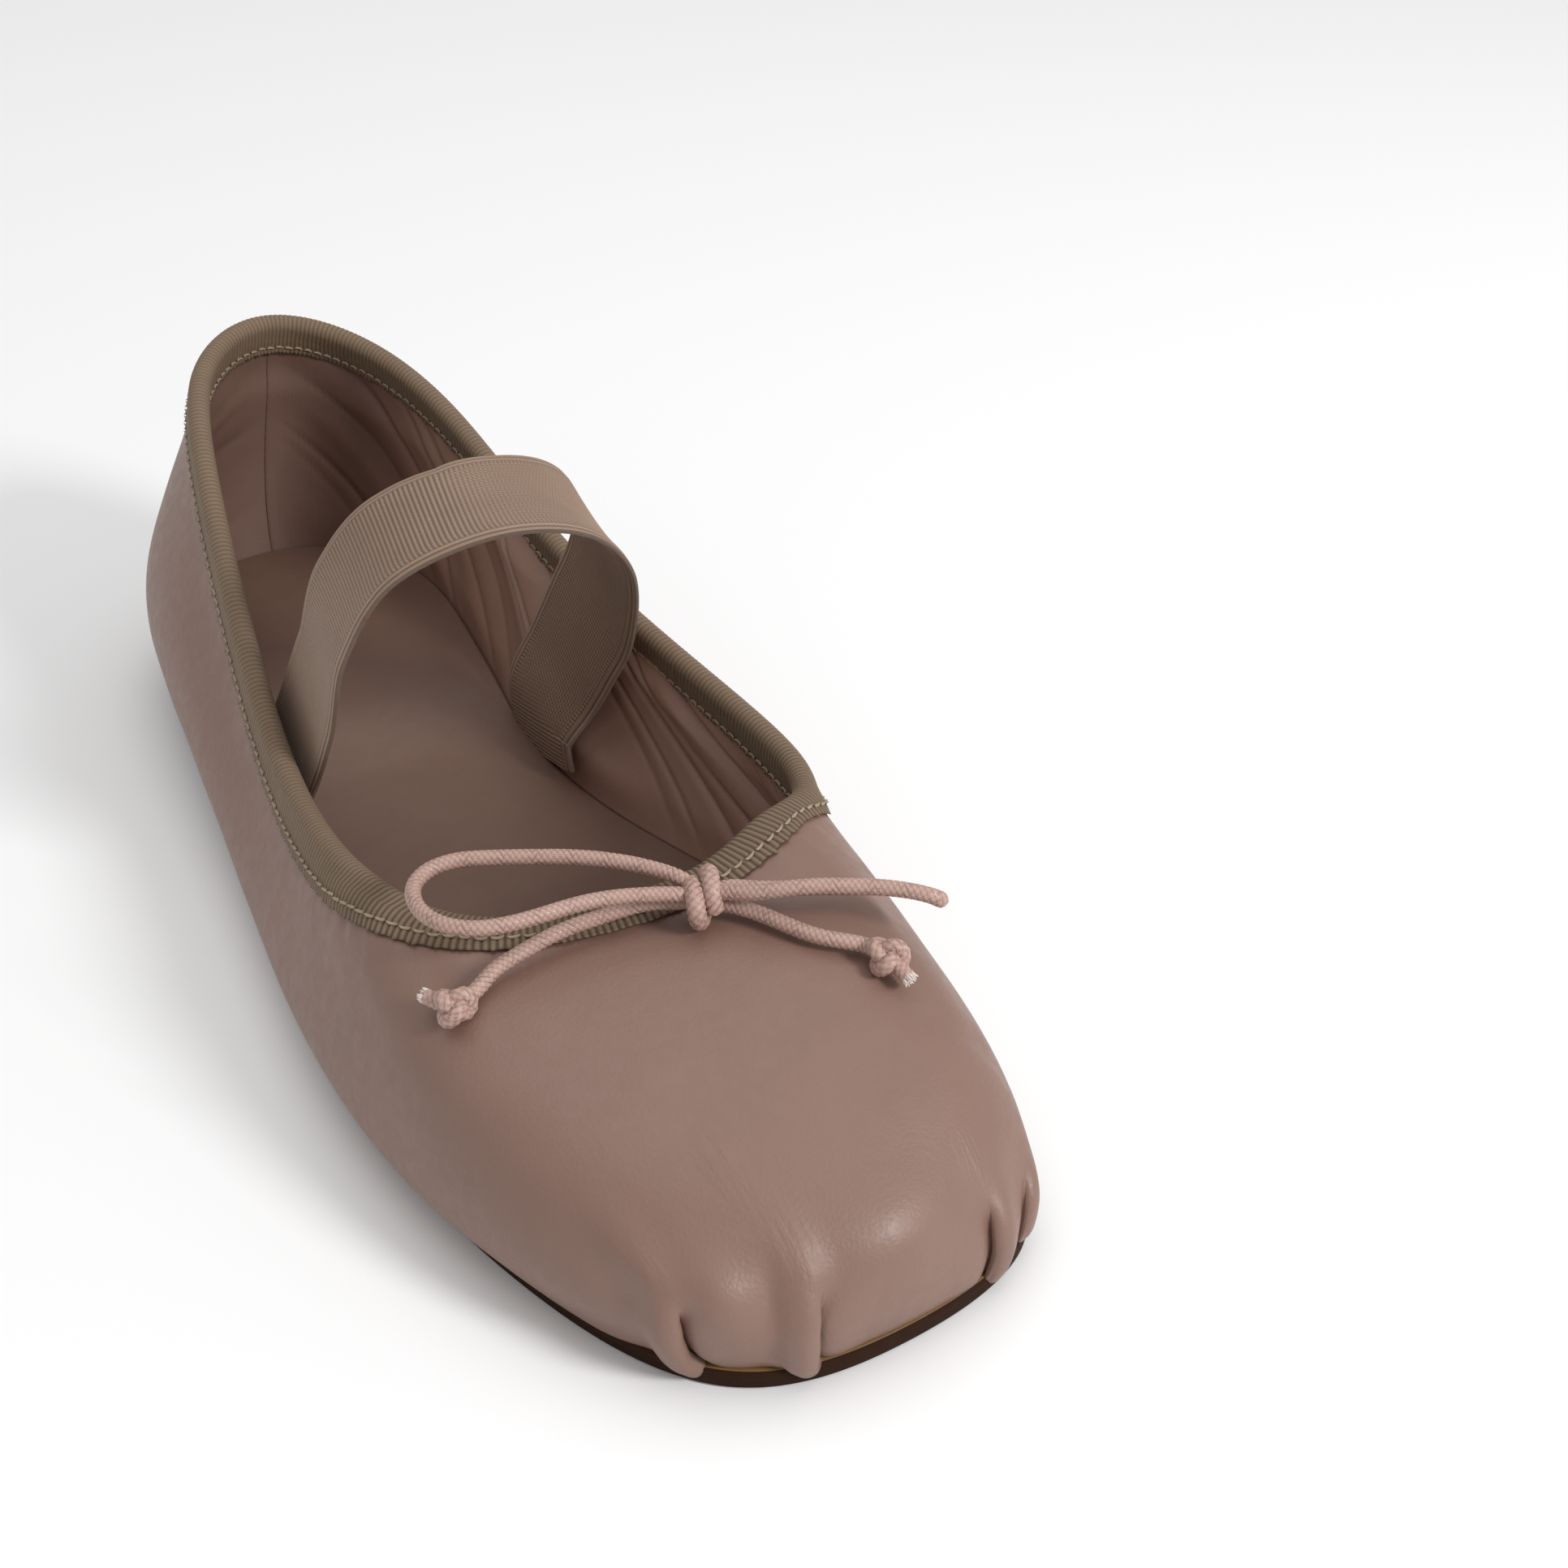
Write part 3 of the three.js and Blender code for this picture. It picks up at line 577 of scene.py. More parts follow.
def frayed_end(shape, tip, direction, seed, slot):
    """White core fibres spread out of a cut end."""
    draw = np.random.default_rng(seed)
    direction = direction / np.linalg.norm(direction)
    side = unit(np.cross(direction, [0.3, 0.2, 1.0]))
    other = np.cross(direction, side)
    angle = np.linspace(0, math.tau, 5, endpoint=False)
    steps = np.linspace(0, 1, 5)
    for _ in range(90):
        place = draw.uniform(0, math.tau)
        out = CORD_RADIUS * 0.92 * math.sqrt(draw.uniform())
        radial = math.cos(place) * side + math.sin(place) * other
        spread = draw.uniform(0.05, 0.2) * out / CORD_RADIUS
        length = draw.uniform(1.0, 1.35)
        line = (tip + radial * out - direction * 0.8)[None] + steps[:, None] * length * direction
        line = line + (steps ** 2)[:, None] * length * spread * radial
        thick = 0.13 * (1 - 0.5 * steps)[:, None, None]
        circle = np.cos(angle)[:, None] * side + np.sin(angle)[:, None] * other
        tube = line[:, None] + thick * circle[None]
        shape.grid(tube, np.linspace(0, length, 5), np.linspace(0, 0.8, 6), around=True, slot=slot, caps=True)


def make_bow():
    across = unit(np.array([0.87, -0.49, 0.02]))
    out = unit(np.array([-0.25, -0.45, 0.86]))
    beside = np.cross(across, out)
    turns = np.linspace(-0.35, 1.25, 60)
    circle = np.cos(math.tau * turns)[:, None] * out + 1.25 * np.sin(math.tau * turns)[:, None] * beside
    wrap = (
        KNOT
        + 0.3 * out
        + across * ((turns - 0.45) * 2.3)[:, None]
        + beside * (1.1 * np.cos(math.pi * turns))[:, None]
        + 2.25 * circle
    )
    knot = Shape()
    braid(knot, resample(wrap, STEP, 0.6), 1.22 * CORD_RADIUS)
    core = KNOT + np.array([-1.9, 1.1, 0.4])[None] * np.linspace(-1, 1, 30)[:, None]
    braid(knot, resample(core, STEP), 1.5)
    knot = knot.build("knot", [CORD], "shoe", ["bow_knot"], "braided_cord")

    for side in ("left", "right"):
        loop_route = [KNOT + [0, 0, 0.9], *ROUTES["loop_" + side], KNOT + [0, 0, 0.2]]
        path = resample(catmull_rom(loop_route), STEP, 1.6)
        loop = Shape()
        length = braid(loop, path, CORD_RADIUS)
        loop = loop.build("loop_" + side, [CORD], "loop_" + side, ["bow_loop_" + side], "braided_cord")

        centre, cut = END_KNOTS[side], CUT_ENDS[side]
        route = [KNOT - [0, 0, 0.4], *ROUTES["tail_" + side], centre, cut]
        path = resample(catmull_rom(route), STEP, 1.2)
        tail = Shape()
        length = braid(tail, path, CORD_RADIUS)
        frayed_end(tail, path[-1], path[-1] - path[-8], FRAY_SEEDS[side], 1)
        tail = tail.build("tail_" + side, [CORD, FIBRE], "tail_" + side, ["bow_tail_" + side], "braided_cord")

        phase = np.linspace(0, math.tau, 160)
        trefoil = END_KNOT_SIZE * np.stack([
            np.sin(phase) + 2 * np.sin(2 * phase),
            np.cos(phase) - 2 * np.cos(2 * phase),
            -1.35 * np.sin(3 * phase),
        ], -1)
        along = unit(centre - np.array(ROUTES["tail_" + side][-2]))
        wide = unit(np.cross(out, along))
        lift = np.cross(along, wide)
        bundle = centre + trefoil @ np.stack([along * 1.08, wide, lift])
        end = Shape()
        braid(end, resample(bundle, STEP), CORD_RADIUS)
        end = end.build("end_knot_" + side, [CORD], "tail_" + side, ["tail_knot_" + side], "braided_cord")


make_bow()


# ---------------- leather upper with its toe pleats
# Each pleat: its crease as (rise, ring number) pairs, the side its fold lies on (1 towards larger
# ring numbers), how full the fold is, and the rises at which its slit and its ridge have faded out.
PLEATS = (
    (((0, 1.07), (1.5, 1.12), (3, 1.13), (7, 1.10), (10, 1.05), (12, 1.0), (15.5, 0.95)), 1, 1.0, 14.5, 34),
    (((0, 0.47), (1.5, 0.50), (7.6, 0.49), (10.5, 0.44), (12, 0.41), (15, 0.37)), 1, 1.0, 14, 27),
    (((0, -0.50), (4, -0.51), (7.7, -0.49), (11.7, -0.47), (15, -0.46)), -1, 0.8, 14, 22),
    (((0, -0.80), (7, -0.81), (11, -0.84), (15, -0.86)), -1, 0.55, 12, 18),
)
CREASE_REFERENCE = 6  # rise at which a column's place beside a crease is read
# Section across a pleat: distance from the crease before folding, distance once folded, height.
FOLD = catmull_rom([
    (-9, -9, 0), (-6, -6, 0.25), (-3.4, -3.4, 0.35), (-1.9, -1.8, 0.1), (-1.2, -0.9, -0.35),
    (-0.6, 0.0, -0.8), (-0.1, 0.6, -0.92), (0.3, 0.35, -0.7), (0.7, -0.25, -0.15), (1.2, -0.4, 0.65),
    (1.9, 0.25, 1.6), (3.0, 1.9, 2.05), (4.4, 3.9, 1.45), (6.0, 5.8, 0.55), (7.6, 7.6, 0.08), (9, 9, 0),
], 10)
# Above the slit the fold runs on as swells: distance from the crease, width, lift.
RIDGE = ((2.8, 2.7, 1.3), (-1.0, 1.6, -0.35), (8.2, 2.4, -0.35))
# A shallow valley between two pleats, as (rise, ring number) pairs.
VALLEY = ((2, 0.73), (6.4, 0.70), (11.4, 0.655), (15.6, 0.60), (22, 0.54))
# Full panels between the pleats: ring number, width in ring numbers, rise, height, lift.
PUFFS = ((0.86, 0.16, 14, 6, 1.7), (0.02, 0.3, 16, 7, 1.9), (1.5, 0.22, 12, 8, 0.4))
# Patches of fine wrinkles: ring number, width in ring numbers, rise, height.
WRINKLED = ((0.56, 0.09, 19, 8), (0.62, 0.07, 33, 7), (1.2, 0.1, 17, 7), (-0.5, 0.12, 20, 6))
HANG_OUT = 0.75  # how far the leather's lower edge bulges over the sole
HANG_DOWN = 0.85
# Ring numbers between which the toe has its finer columns.
TOE_FROM = -1.6
TOE_TO = 2.0
SEAM_WIDTH = 0.5  # of the seam at the back of the heel


def along_line(line, rise):
    """The ring number of a line of (rise, ring number) pairs, with its corners eased."""
    points = np.array(line)
    return sum(np.interp(rise + d, points[:, 0], points[:, 1]) for d in (-0.8, 0, 0.8)) / 3


def toe_columns():
    """Ring numbers of the toe's columns of quads, closer together at the creases."""
    fine = np.linspace(TOE_FROM, TOE_TO, 4000)
    density = np.full(len(fine), 1.0)
    for line, side, *_ in PLEATS:
        density += 2.2 * bell(fine - along_line(line, CREASE_REFERENCE) - 0.03 * side, 0.07)
    total = np.concatenate([[0], np.cumsum(density[1:])]) * (fine[1] - fine[0])
    return np.interp(np.arange(0, total[-1], 0.008), total, fine)


def along_creases(s, rise):
    """Columns lean over with the creases that they run beside."""
    out = s + 0 * rise
    for line, *_ in PLEATS:
        reference = along_line(line, CREASE_REFERENCE)
        out = out + (along_line(line, rise) - reference) * bell(s - reference, 0.2)
    return out


def ring_speed(s, t):
    """Millimetres of wall for one ring number."""
    return np.linalg.norm(wall(s + 0.01, t) - wall(s - 0.01, t), axis=-1) / 0.02


def pleated(s, t, rise):
    """How the pleats move the leather: the shift in ring number, the height, and the relief value, low in the
    slits for painted shade.
    """
    speed = ring_speed(s, t)
    shift, height, value = np.zeros_like(rise), np.zeros_like(rise), np.ones_like(rise)
    for line, side, full, slit_top, ridge_top in PLEATS:
        x = side * (s - along_line(line, rise)) * speed
        x = x / (0.85 + 0.012 * rise)
        slit = full * smooth(rise, slit_top, slit_top - 6.5)
        ridge = full * smooth(rise, ridge_top, 7) * (1 - slit)
        end = 0.72 + 0.28 * smooth(rise, 0, 2.4)
        shift += side * slit * np.interp(x, FOLD[:, 0], FOLD[:, 1] - FOLD[:, 0]) / speed
        height += slit * end * np.interp(x, FOLD[:, 0], FOLD[:, 2])
        for centre, wide, lift in RIDGE:
            height += ridge * lift * bell(x - centre, wide + 0.05 * rise)
        # painted shade in each pleat's slit, through a low relief value
        value -= slit * 0.95 * bell(x - 0.1, 0.75)
        value -= 0.25 * ridge * bell(x - 0.3, 0.9)
    valley = (s - along_line(VALLEY, rise)) * speed
    height -= 0.45 * bell(valley, 1.5) * smooth(rise, 1, 4) * smooth(rise, 21, 13)
    for place, wide, level, tall, lift in PUFFS:
        height += lift * bell(s - place, wide) * bell(rise - level, tall)
    return shift, height, value


def upper_relief(s, t, rise, drop, u, span):
    """Away from the pleats: the leather's height over the plain wall, and its relief value."""
    height = np.zeros_like(rise)
    fine = np.zeros_like(rise)
    for place, wide, level, tall in WRINKLED:
        fine += bell(s - place, wide) * bell(rise - level, tall)
    value = 1 - 0.6 * np.clip(fine, 0, 1)
    vein = rise - (27 + 33 * (s + 0.95))
    height -= 0.38 * bell(vein, 3.0) * smooth(s, -1.25, -0.95) * smooth(s, -0.3, -0.6)
    pucker = smooth(drop, 15, 8.5)
    height += 0.06 * pucker * waves(u, span, 6.5, 8)
    swell = waves(u + 0.5 * rise, span, 34, 9) * waves(rise * 2.2, 200, 60, 10)
    height += 0.22 * swell * smooth(rise, 2, 14) * (1 - pucker)
    back = np.abs(s - HEEL) * ring_speed(s, t)
    height -= 0.3 * bell(back, SEAM_WIDTH)
    height += 0.16 * bell(back - 1.3, 0.8)
    value = np.minimum(value, 1 - 0.8 * bell(back, SEAM_WIDTH * 0.7))
    return height, value


def overhang(s):
    """How much the lower edge bulges over the sole, from 0 to 1: most along the sides, least at the toe."""
    outer = smooth(s, 1.15, 1.6) * smooth(s, HEEL, 5.4)
    inner = smooth(s, HEEL, 8.6) * (1 - 0.5 * smooth(s, 11.6, 13.0))
    toe = (0.5 + 0.5 * smooth(s, -1.0, -2.4)) * (1 - 0.65 * smooth(s, -0.9, 0.45))
    return np.where(s < 0.5, toe, outer + inner)


def make_upper():
    toe = toe_columns()
    s = np.concatenate([toe, np.linspace(TOE_TO, TOE_FROM + COUNT, 430)[:-1]])
    rim = Rim(s)
    length = rim.length()[:, None]
    top = length - (EDGE_DROP - 0.4)
    f = np.linspace(0, 1, 96)[None]
    rise = top * (0.34 * f + 0.66 * f * f)
    t = rim.below(length - rise)
    mid = wall(s, 0.5)
    run = lengths(np.vstack([mid, mid[:1]]))
    column = s[:, None]
    height, value = upper_relief(column, t, rise, length - rise, run[:-1, None], run[-1])
    near = (s < TOE_TO) & (s > TOE_FROM)
    fade = (smooth(s, TOE_FROM, -1.1) * smooth(s, TOE_TO, 1.7))[:, None]
    place = np.where(near[:, None], along_creases(column, rise), column)
    shift, fold, pleat_shade_and_creases = pleated(place, t, rise)
    place = place + shift * fade
    row_t = t.copy()
    for k in range(t.shape[1]):
        row_t[near, k] = np.interp(place[near, k], s[near], t[near, k])
    height = height + fold * fade
    # the pleats' low relief values bring painted shade into the slits
    value = np.minimum(value, 1 - (1 - pleat_shade_and_creases) * fade)
    outside = skin(place, row_t, -height)
    outside[..., 2] -= 1.4 * smooth(fold * fade, 0.5, 1.5) * bell(rise, 2.6)
    hang = overhang(s)[:, None] * bell(rise, 3.0) * (1 - smooth(fold * fade, 0.3, 1.1))
    outside = outside + wall_normal(place, row_t) * (HANG_OUT * hang)[..., None]
    outside[..., 2] -= HANG_DOWN * hang
    low = rim.at_rise(LEATHER, LEATHER + 0.5)[:, None]
    back_t = low + (t[:, -1:] - low) * np.linspace(1, 0, 12)[None]
    inside = skin(column, back_t, LEATHER)
    foot = ring(s)[:, :2]
    n = plan_normal(s, 0)
    z = seat(foot[:, 1])

    def turned_in(distance, lift):
        return np.concatenate([foot - n * distance, (z + lift)[:, None]], -1)[:, None]

    below = [turned_in(9, 0.05), turned_in(3, 0.05)]
    above = [turned_in(2, LEATHER), turned_in(9, LEATHER)]
    section = np.concatenate([*below, outside, inside, *above], 1)
    extra = section.shape[1] - outside.shape[1] - 2
    values = np.concatenate([value[:, :1], value[:, :1], value, np.ones((len(s), extra))], 1)
    v = np.concatenate([[-9, -3], np.median(rise, 0), 70 + np.arange(extra + 1)])
    shape = Shape().grid(section, run, v, around=True, along=True, relief=values)
    shape.build("upper", [NAPPA], "shoe", ["upper_leather"], "nappa_leather")


# ---------------- linings
HEEL_PAINTED_SHADE = 0.75  # how far the relief value drops in the heel, for painted shade on the heel lining
FOLD_SPACING = 9.0
SEAM_STITCH = 2.4


def make_lining(name, start, end, node, material, slot, folds):
    """A lining between two ring numbers. folds is the height of its gathers, 0 for none."""
    s = np.linspace(start, end, max(60, round((end - start) * 110)))
    rim = Rim(s)
    low = rim.at_rise(LEATHER + 3 * GAP + STIFFENER, 2.6)[:, None]
    high = rim.below(EDGE_DROP)
    f = np.linspace(0, 1, 56)[None]
    t = low + (high - low) * f
    column = s[:, None]
    depth = LEATHER + GAP + (STIFFENER + 2 * GAP) * (1 - smooth(t, 0.66, 0.8))
    rise = rim.length()[:, None] - rim.drop_at(t)
    run = lengths(wall(s, 0.5))
    towards_toe = -1 if end <= HEEL else 1
    u = run[:, None]
    slant = towards_toe * u + 0.5 * rise + 0.012 * rise * rise + 5.0 * waves(u + 0.4 * rise, 400, 60, 21)
    phase = slant / FOLD_SPACING + 0.45 * waves(slant, 400, 40, 22)
    fold = np.abs(np.sin(math.pi * phase)) ** 0.5
    fold = 1 - (1 - fold) * (0.5 + 0.5 * np.sin(14.7 * np.round(phase)))
    middle = (start + end) / 2
    reach = (end - start) / 2
    zone = smooth(np.abs(column - middle), reach * 1.02, reach * 0.6) if folds else 0.0
    zone = zone * smooth(f, 0.0, 0.2) * smooth(f, 1.0, 0.8) * (0.65 + 0.35 * waves(u + rise, 400, 40, 23))
    height = folds * fold * zone
    seam = np.minimum(np.abs(column - start), np.abs(column - end)) * 28
    height = height - 0.1 * bell(seam, 0.6)
    thread = 0.5 + 0.5 * np.sin(math.tau * rise / SEAM_STITCH)
    # painted shade in the valleys of the gathers, through a low relief value; the dashed darkening at the
    # seams is their stitching
    value = 1 - 0.9 * zone * (1 - fold) - 0.3 * bell(seam, 0.4) * thread
    # painted shade on the heel lining, through a lower relief value
    value = value * (1 - HEEL_PAINTED_SHADE * smooth(np.abs(column - HEEL), 2.6, 0.9))
    front = skin(column, t, depth + LINING + height)
    back = skin(column, t, depth)[:, ::-1]
    section = np.concatenate([front, back], 1)
    v = np.concatenate([np.median(rise, 0), np.median(rise, 0)[::-1] + 80, [0]])
    values = np.concatenate([value, np.ones_like(value)], 1)
    shape = Shape().grid(section, run, v, around=True, relief=values, caps=True)
    shape.build(name, [material], "shoe", [node], slot)


# ---------------- ribbon binding and its stitches
RIB = 1.05  # from one rib of the ribbon to the next
RIB_LIFT = 0.19
STITCH = 2.35
STITCH_GAP = 0.45
STITCH_DROP = 6.0
CORNER = 12.55  # ring number of the throat's inner corner
CORNER_WIDE = 0.4
CORNER_SAVED = 2.4
LEAN_STEPS = 1400
LEAN_REACH = 6.0
LEAN_SOFT = 40


def corner(s):
    """How much narrower the outer flap is where the topline turns from the side to the throat."""
    return CORNER_SAVED * bell(s % COUNT - CORNER, CORNER_WIDE)


def crest_lean():
    """For the whole ring: how far its sections lean along the crest, and the crest's mm per ring number."""
    s = np.linspace(0, COUNT, LEAN_STEPS, endpoint=False)
    crest = wall(s, 1)
    down = unit(wall(s, Rim(s).below(LEAN_REACH)[:, 0]) - crest)
    step = np.roll(crest, -1, 0) - np.roll(crest, 1, 0)
    speed = np.linalg.norm(step, axis=1) / (2 * COUNT / LEAN_STEPS)
    window = np.hanning(2 * LEAN_SOFT + 1)
    lean = np.clip((down * unit(step)).sum(1), -0.8, 0.8)

    def soft(values):
        padded = np.concatenate([values[-LEAN_SOFT:], values, values[:LEAN_SOFT]])
        return np.convolve(padded, window / window.sum(), "valid")

    return s, soft(lean), soft(speed)


LEAN = crest_lean()
DROPS = np.linspace(0, 16, 65)
DROP_T = Rim(LEAN[0]).below(DROPS[None])


def t_below(s, drop):
    """t at that arc length below the crest, read off the table DROP_T."""
    i = (s % COUNT) * LEAN_STEPS / COUNT
    j = drop / DROPS[1]
    low_i, low_j = np.floor(i).astype(int), np.floor(j).astype(int)
    f, g = i - low_i, j - low_j
    here, ahead = DROP_T[low_i % LEAN_STEPS], DROP_T[(low_i + 1) % LEAN_STEPS]
    table = here * (1 - f)[:, None] + ahead * f[:, None]
    row = np.arange(len(s))
    return table[row, low_j] * (1 - g) + table[row, low_j + 1] * g


def square(s, distance):
    """Ring numbers and t of the points at that distance from the crest, measured square to it."""
    lean, speed = (np.interp(s, LEAN[0], values, period=COUNT) for values in LEAN[1:])
    drop = distance / np.sqrt(1 - lean ** 2)
    moved = s - drop * lean / speed
    return moved, t_below(moved, drop)


def crest_frame(rim):
    t = rim.below(CORD_DROP)[:, 0]
    normal = wall_normal(rim.s, t)
    along = unit(wall(rim.s + 0.02, t) - wall(rim.s - 0.02, t))
    middle = (LEATHER + GAP + LINING) / 2
    return skin(rim.s, t, middle), normal, unit(np.cross(along, normal))


def make_binding():
    count = 3600
    s, span = even_ring(count, THREAD_DROP)
    rim = Rim(s)
    u = np.linspace(0, span, count, endpoint=False)
    centre, normal, up = crest_frame(rim)
    ribs = round(span / RIB)
    rib = 0.5 + 0.5 * np.cos(math.tau * ribs * u / span)
    throat = smooth(np.abs((s + HEEL) % COUNT - HEEL), 3.2, 1.2)
    rib = 1 - (1 - rib ** 0.7) * (0.6 + 0.4 * throat)
    hem = 0.28 * waves(u, span, 4.0, 31) + 0.12 * np.cos(math.tau * ribs * u / span)
    ripple = 0.08 * waves(u, span, 5.0, 32)
    bore = CORD_RADIUS + GAP
    rows = []

    def flap(drop, depth, out):
        """One row of the ribbon lying on the wall; out is +1 outside and -1 inside."""
        level = np.median(drop)
        dimple = 0.16 * bell(level - STITCH_DROP, 0.7)
        lift = RIB_LIFT * rib + ripple * smooth(level, EDGE_DROP, BINDING_OUT) - dimple
        thin = 0.4 * smooth(level, BINDING_OUT - 2, BINDING_OUT) if out > 0 else 0.0
        rows.append(skin(*square(s, drop), depth + thin - out * lift))

    outside = -GAP - RIBBON
    inside = LEATHER + GAP + LINING + GAP + RIBBON
    for drop in np.linspace(BINDING_OUT, EDGE_DROP, 10):
        edge = hem * smooth(drop, BINDING_OUT - 1.2, BINDING_OUT)
        edge = edge - corner(s) * (drop - EDGE_DROP) / (BINDING_OUT - EDGE_DROP)
        flap(drop + edge, outside, 1)
    for angle in np.radians(np.linspace(0, 180, 13)):
        radius = (bore + RIBBON + RIB_LIFT * rib + 0.06 * ripple)[:, None]
        rows.append(centre + radius * (normal * math.cos(angle) + up * math.sin(angle)))
    for drop in np.linspace(EDGE_DROP, BINDING_IN, 9):
        edge = hem * smooth(drop, BINDING_IN - 1.2, BINDING_IN)
        flap(drop + edge, inside, -1)
    visible = len(rows)
    for drop in (BINDING_IN - 0.1, EDGE_DROP):
        rows.append(skin(*square(s, drop), inside - RIBBON))
    for angle in np.radians((180, 120, 60, 0)):
        rows.append(centre + bore * (normal * math.cos(angle) + up * math.sin(angle)))
    for drop in (EDGE_DROP, BINDING_OUT - 0.1 - corner(s)):
        rows.append(skin(*square(s, drop), -GAP))
    section = np.stack(rows, 1)
    median = np.median(np.linalg.norm(np.diff(section, axis=1), axis=2), 0)
    v = np.concatenate([[0], np.cumsum(median), [median.sum() + 1]])
    # the relief value follows the ribs, so the material paints shade between them; the hidden rows get
    # painted shade too
    value = np.broadcast_to(rib[:, None], section.shape[:2]).copy()
    value[:, visible:] = 0.4
    loop = np.linspace(0, span, count + 1)
    shape = Shape().grid(section, loop, v, around=True, along=True, relief=value)
    shape.build("binding", [GROSGRAIN], "shoe", ["topline_binding"], "grosgrain")


def make_stitches(name, node, depth, out, seed):
    """Short stitches end to end round the topline; each sinks into the ribbon at both ends."""
    ring_s = np.linspace(0, COUNT, 2401)
    saved = 0.8 * corner(ring_s) if out > 0 else 0.0
    line_s, line_t = square(ring_s, STITCH_DROP - saved)
    run = lengths(wall(line_s, line_t))
    count = round(run[-1] / STITCH)
    pitch = run[-1] / count
    draw = np.random.default_rng(seed)
    rows, around = 9, 8
    f = np.linspace(-1, 1, rows)
    angle = np.linspace(0, math.tau, around, endpoint=False)[None, :, None]
    shape = Shape()
    for k in range(count):
        u = (k + 0.5) * pitch + f * 0.5 * (STITCH - STITCH_GAP) * draw.uniform(0.9, 1.05)
        s, t = np.interp(u, run, line_s), np.interp(u, run, line_t)
        normal = wall_normal(s, t)
        line = skin(s, t, depth - out * 0.34 * f ** 4)
        along = unit(np.gradient(line, axis=0))
        across = np.cross(normal, along)
        line = line + (draw.uniform(-0.12, 0.12) + 0.1 * f)[:, None] * across
        thick = (0.26 * np.sqrt(np.maximum(0.08, 1 - 0.75 * f ** 6)))[:, None, None]
        circle = np.cos(angle) * across[:, None] + 0.85 * np.sin(angle) * normal[:, None]
        tube = line[:, None] + thick * circle
        shape.grid(tube, u, np.linspace(0, 1.6, around + 1), around=True, caps=True)
    shape.build(name, [THREAD], "shoe", [node], "thread")


# ---------------- elastic instep strap
STRAP_WIDTH = 26.5
STRAP_THICK = 1.2
STRAP_RIB = 0.82
STRAP_EDGE = 2.4  # the two cords along each edge
# The band's middle line from the inner end over the arch: x, y, z, then its turn and tilt in degrees.
STRAP_ROUTE = (
    (19.3, 23.6, 8.3, 0, 2), (19.0, 24.6, 12.5, 0, 3),
    (19.2, 25.2, 17, 0, 4), (23.0, 21.8, 27, 1, 14), (24.9, 17.0, 36.5, 2, 24), (26.2, 11.4, 47, 2, 30),
    (22.8, 4.8, 62.5, -3, 21), (10, -2, 73.8, -8, 6), (-3.9, -4.5, 76.9, 3, -1), (-15.8, -0.4, 71.4, 12, 0),
    (-23, 6, 58, 11, 6), (-25.3, 12.6, 41.5, 9, 7), (-27.9, 19.6, 27, 6, 3), (-31.6, 22.4, 17, 4, 1),
    (-34.4, 22.3, 12.6, 4, 1), (-36.6, 22.2, 8.3, 4, 0),
)


def webbing(across, along):
    """Relief of ribbed elastic: ribs across the band and two cords along each edge; the value is low between
    them, for painted shade.
    """
    from_edge = STRAP_WIDTH / 2 - np.abs(across)
    edge = smooth(from_edge, STRAP_EDGE + 0.2, STRAP_EDGE - 0.2)
    rib = (0.5 + 0.5 * np.cos(math.tau * along / STRAP_RIB)) ** 0.8
    cords = (0.5 - 0.5 * np.cos(2 * math.tau * from_edge / STRAP_EDGE)) ** 0.8
    value = rib * (1 - edge) + cords * edge
    return 0.14 * value, value


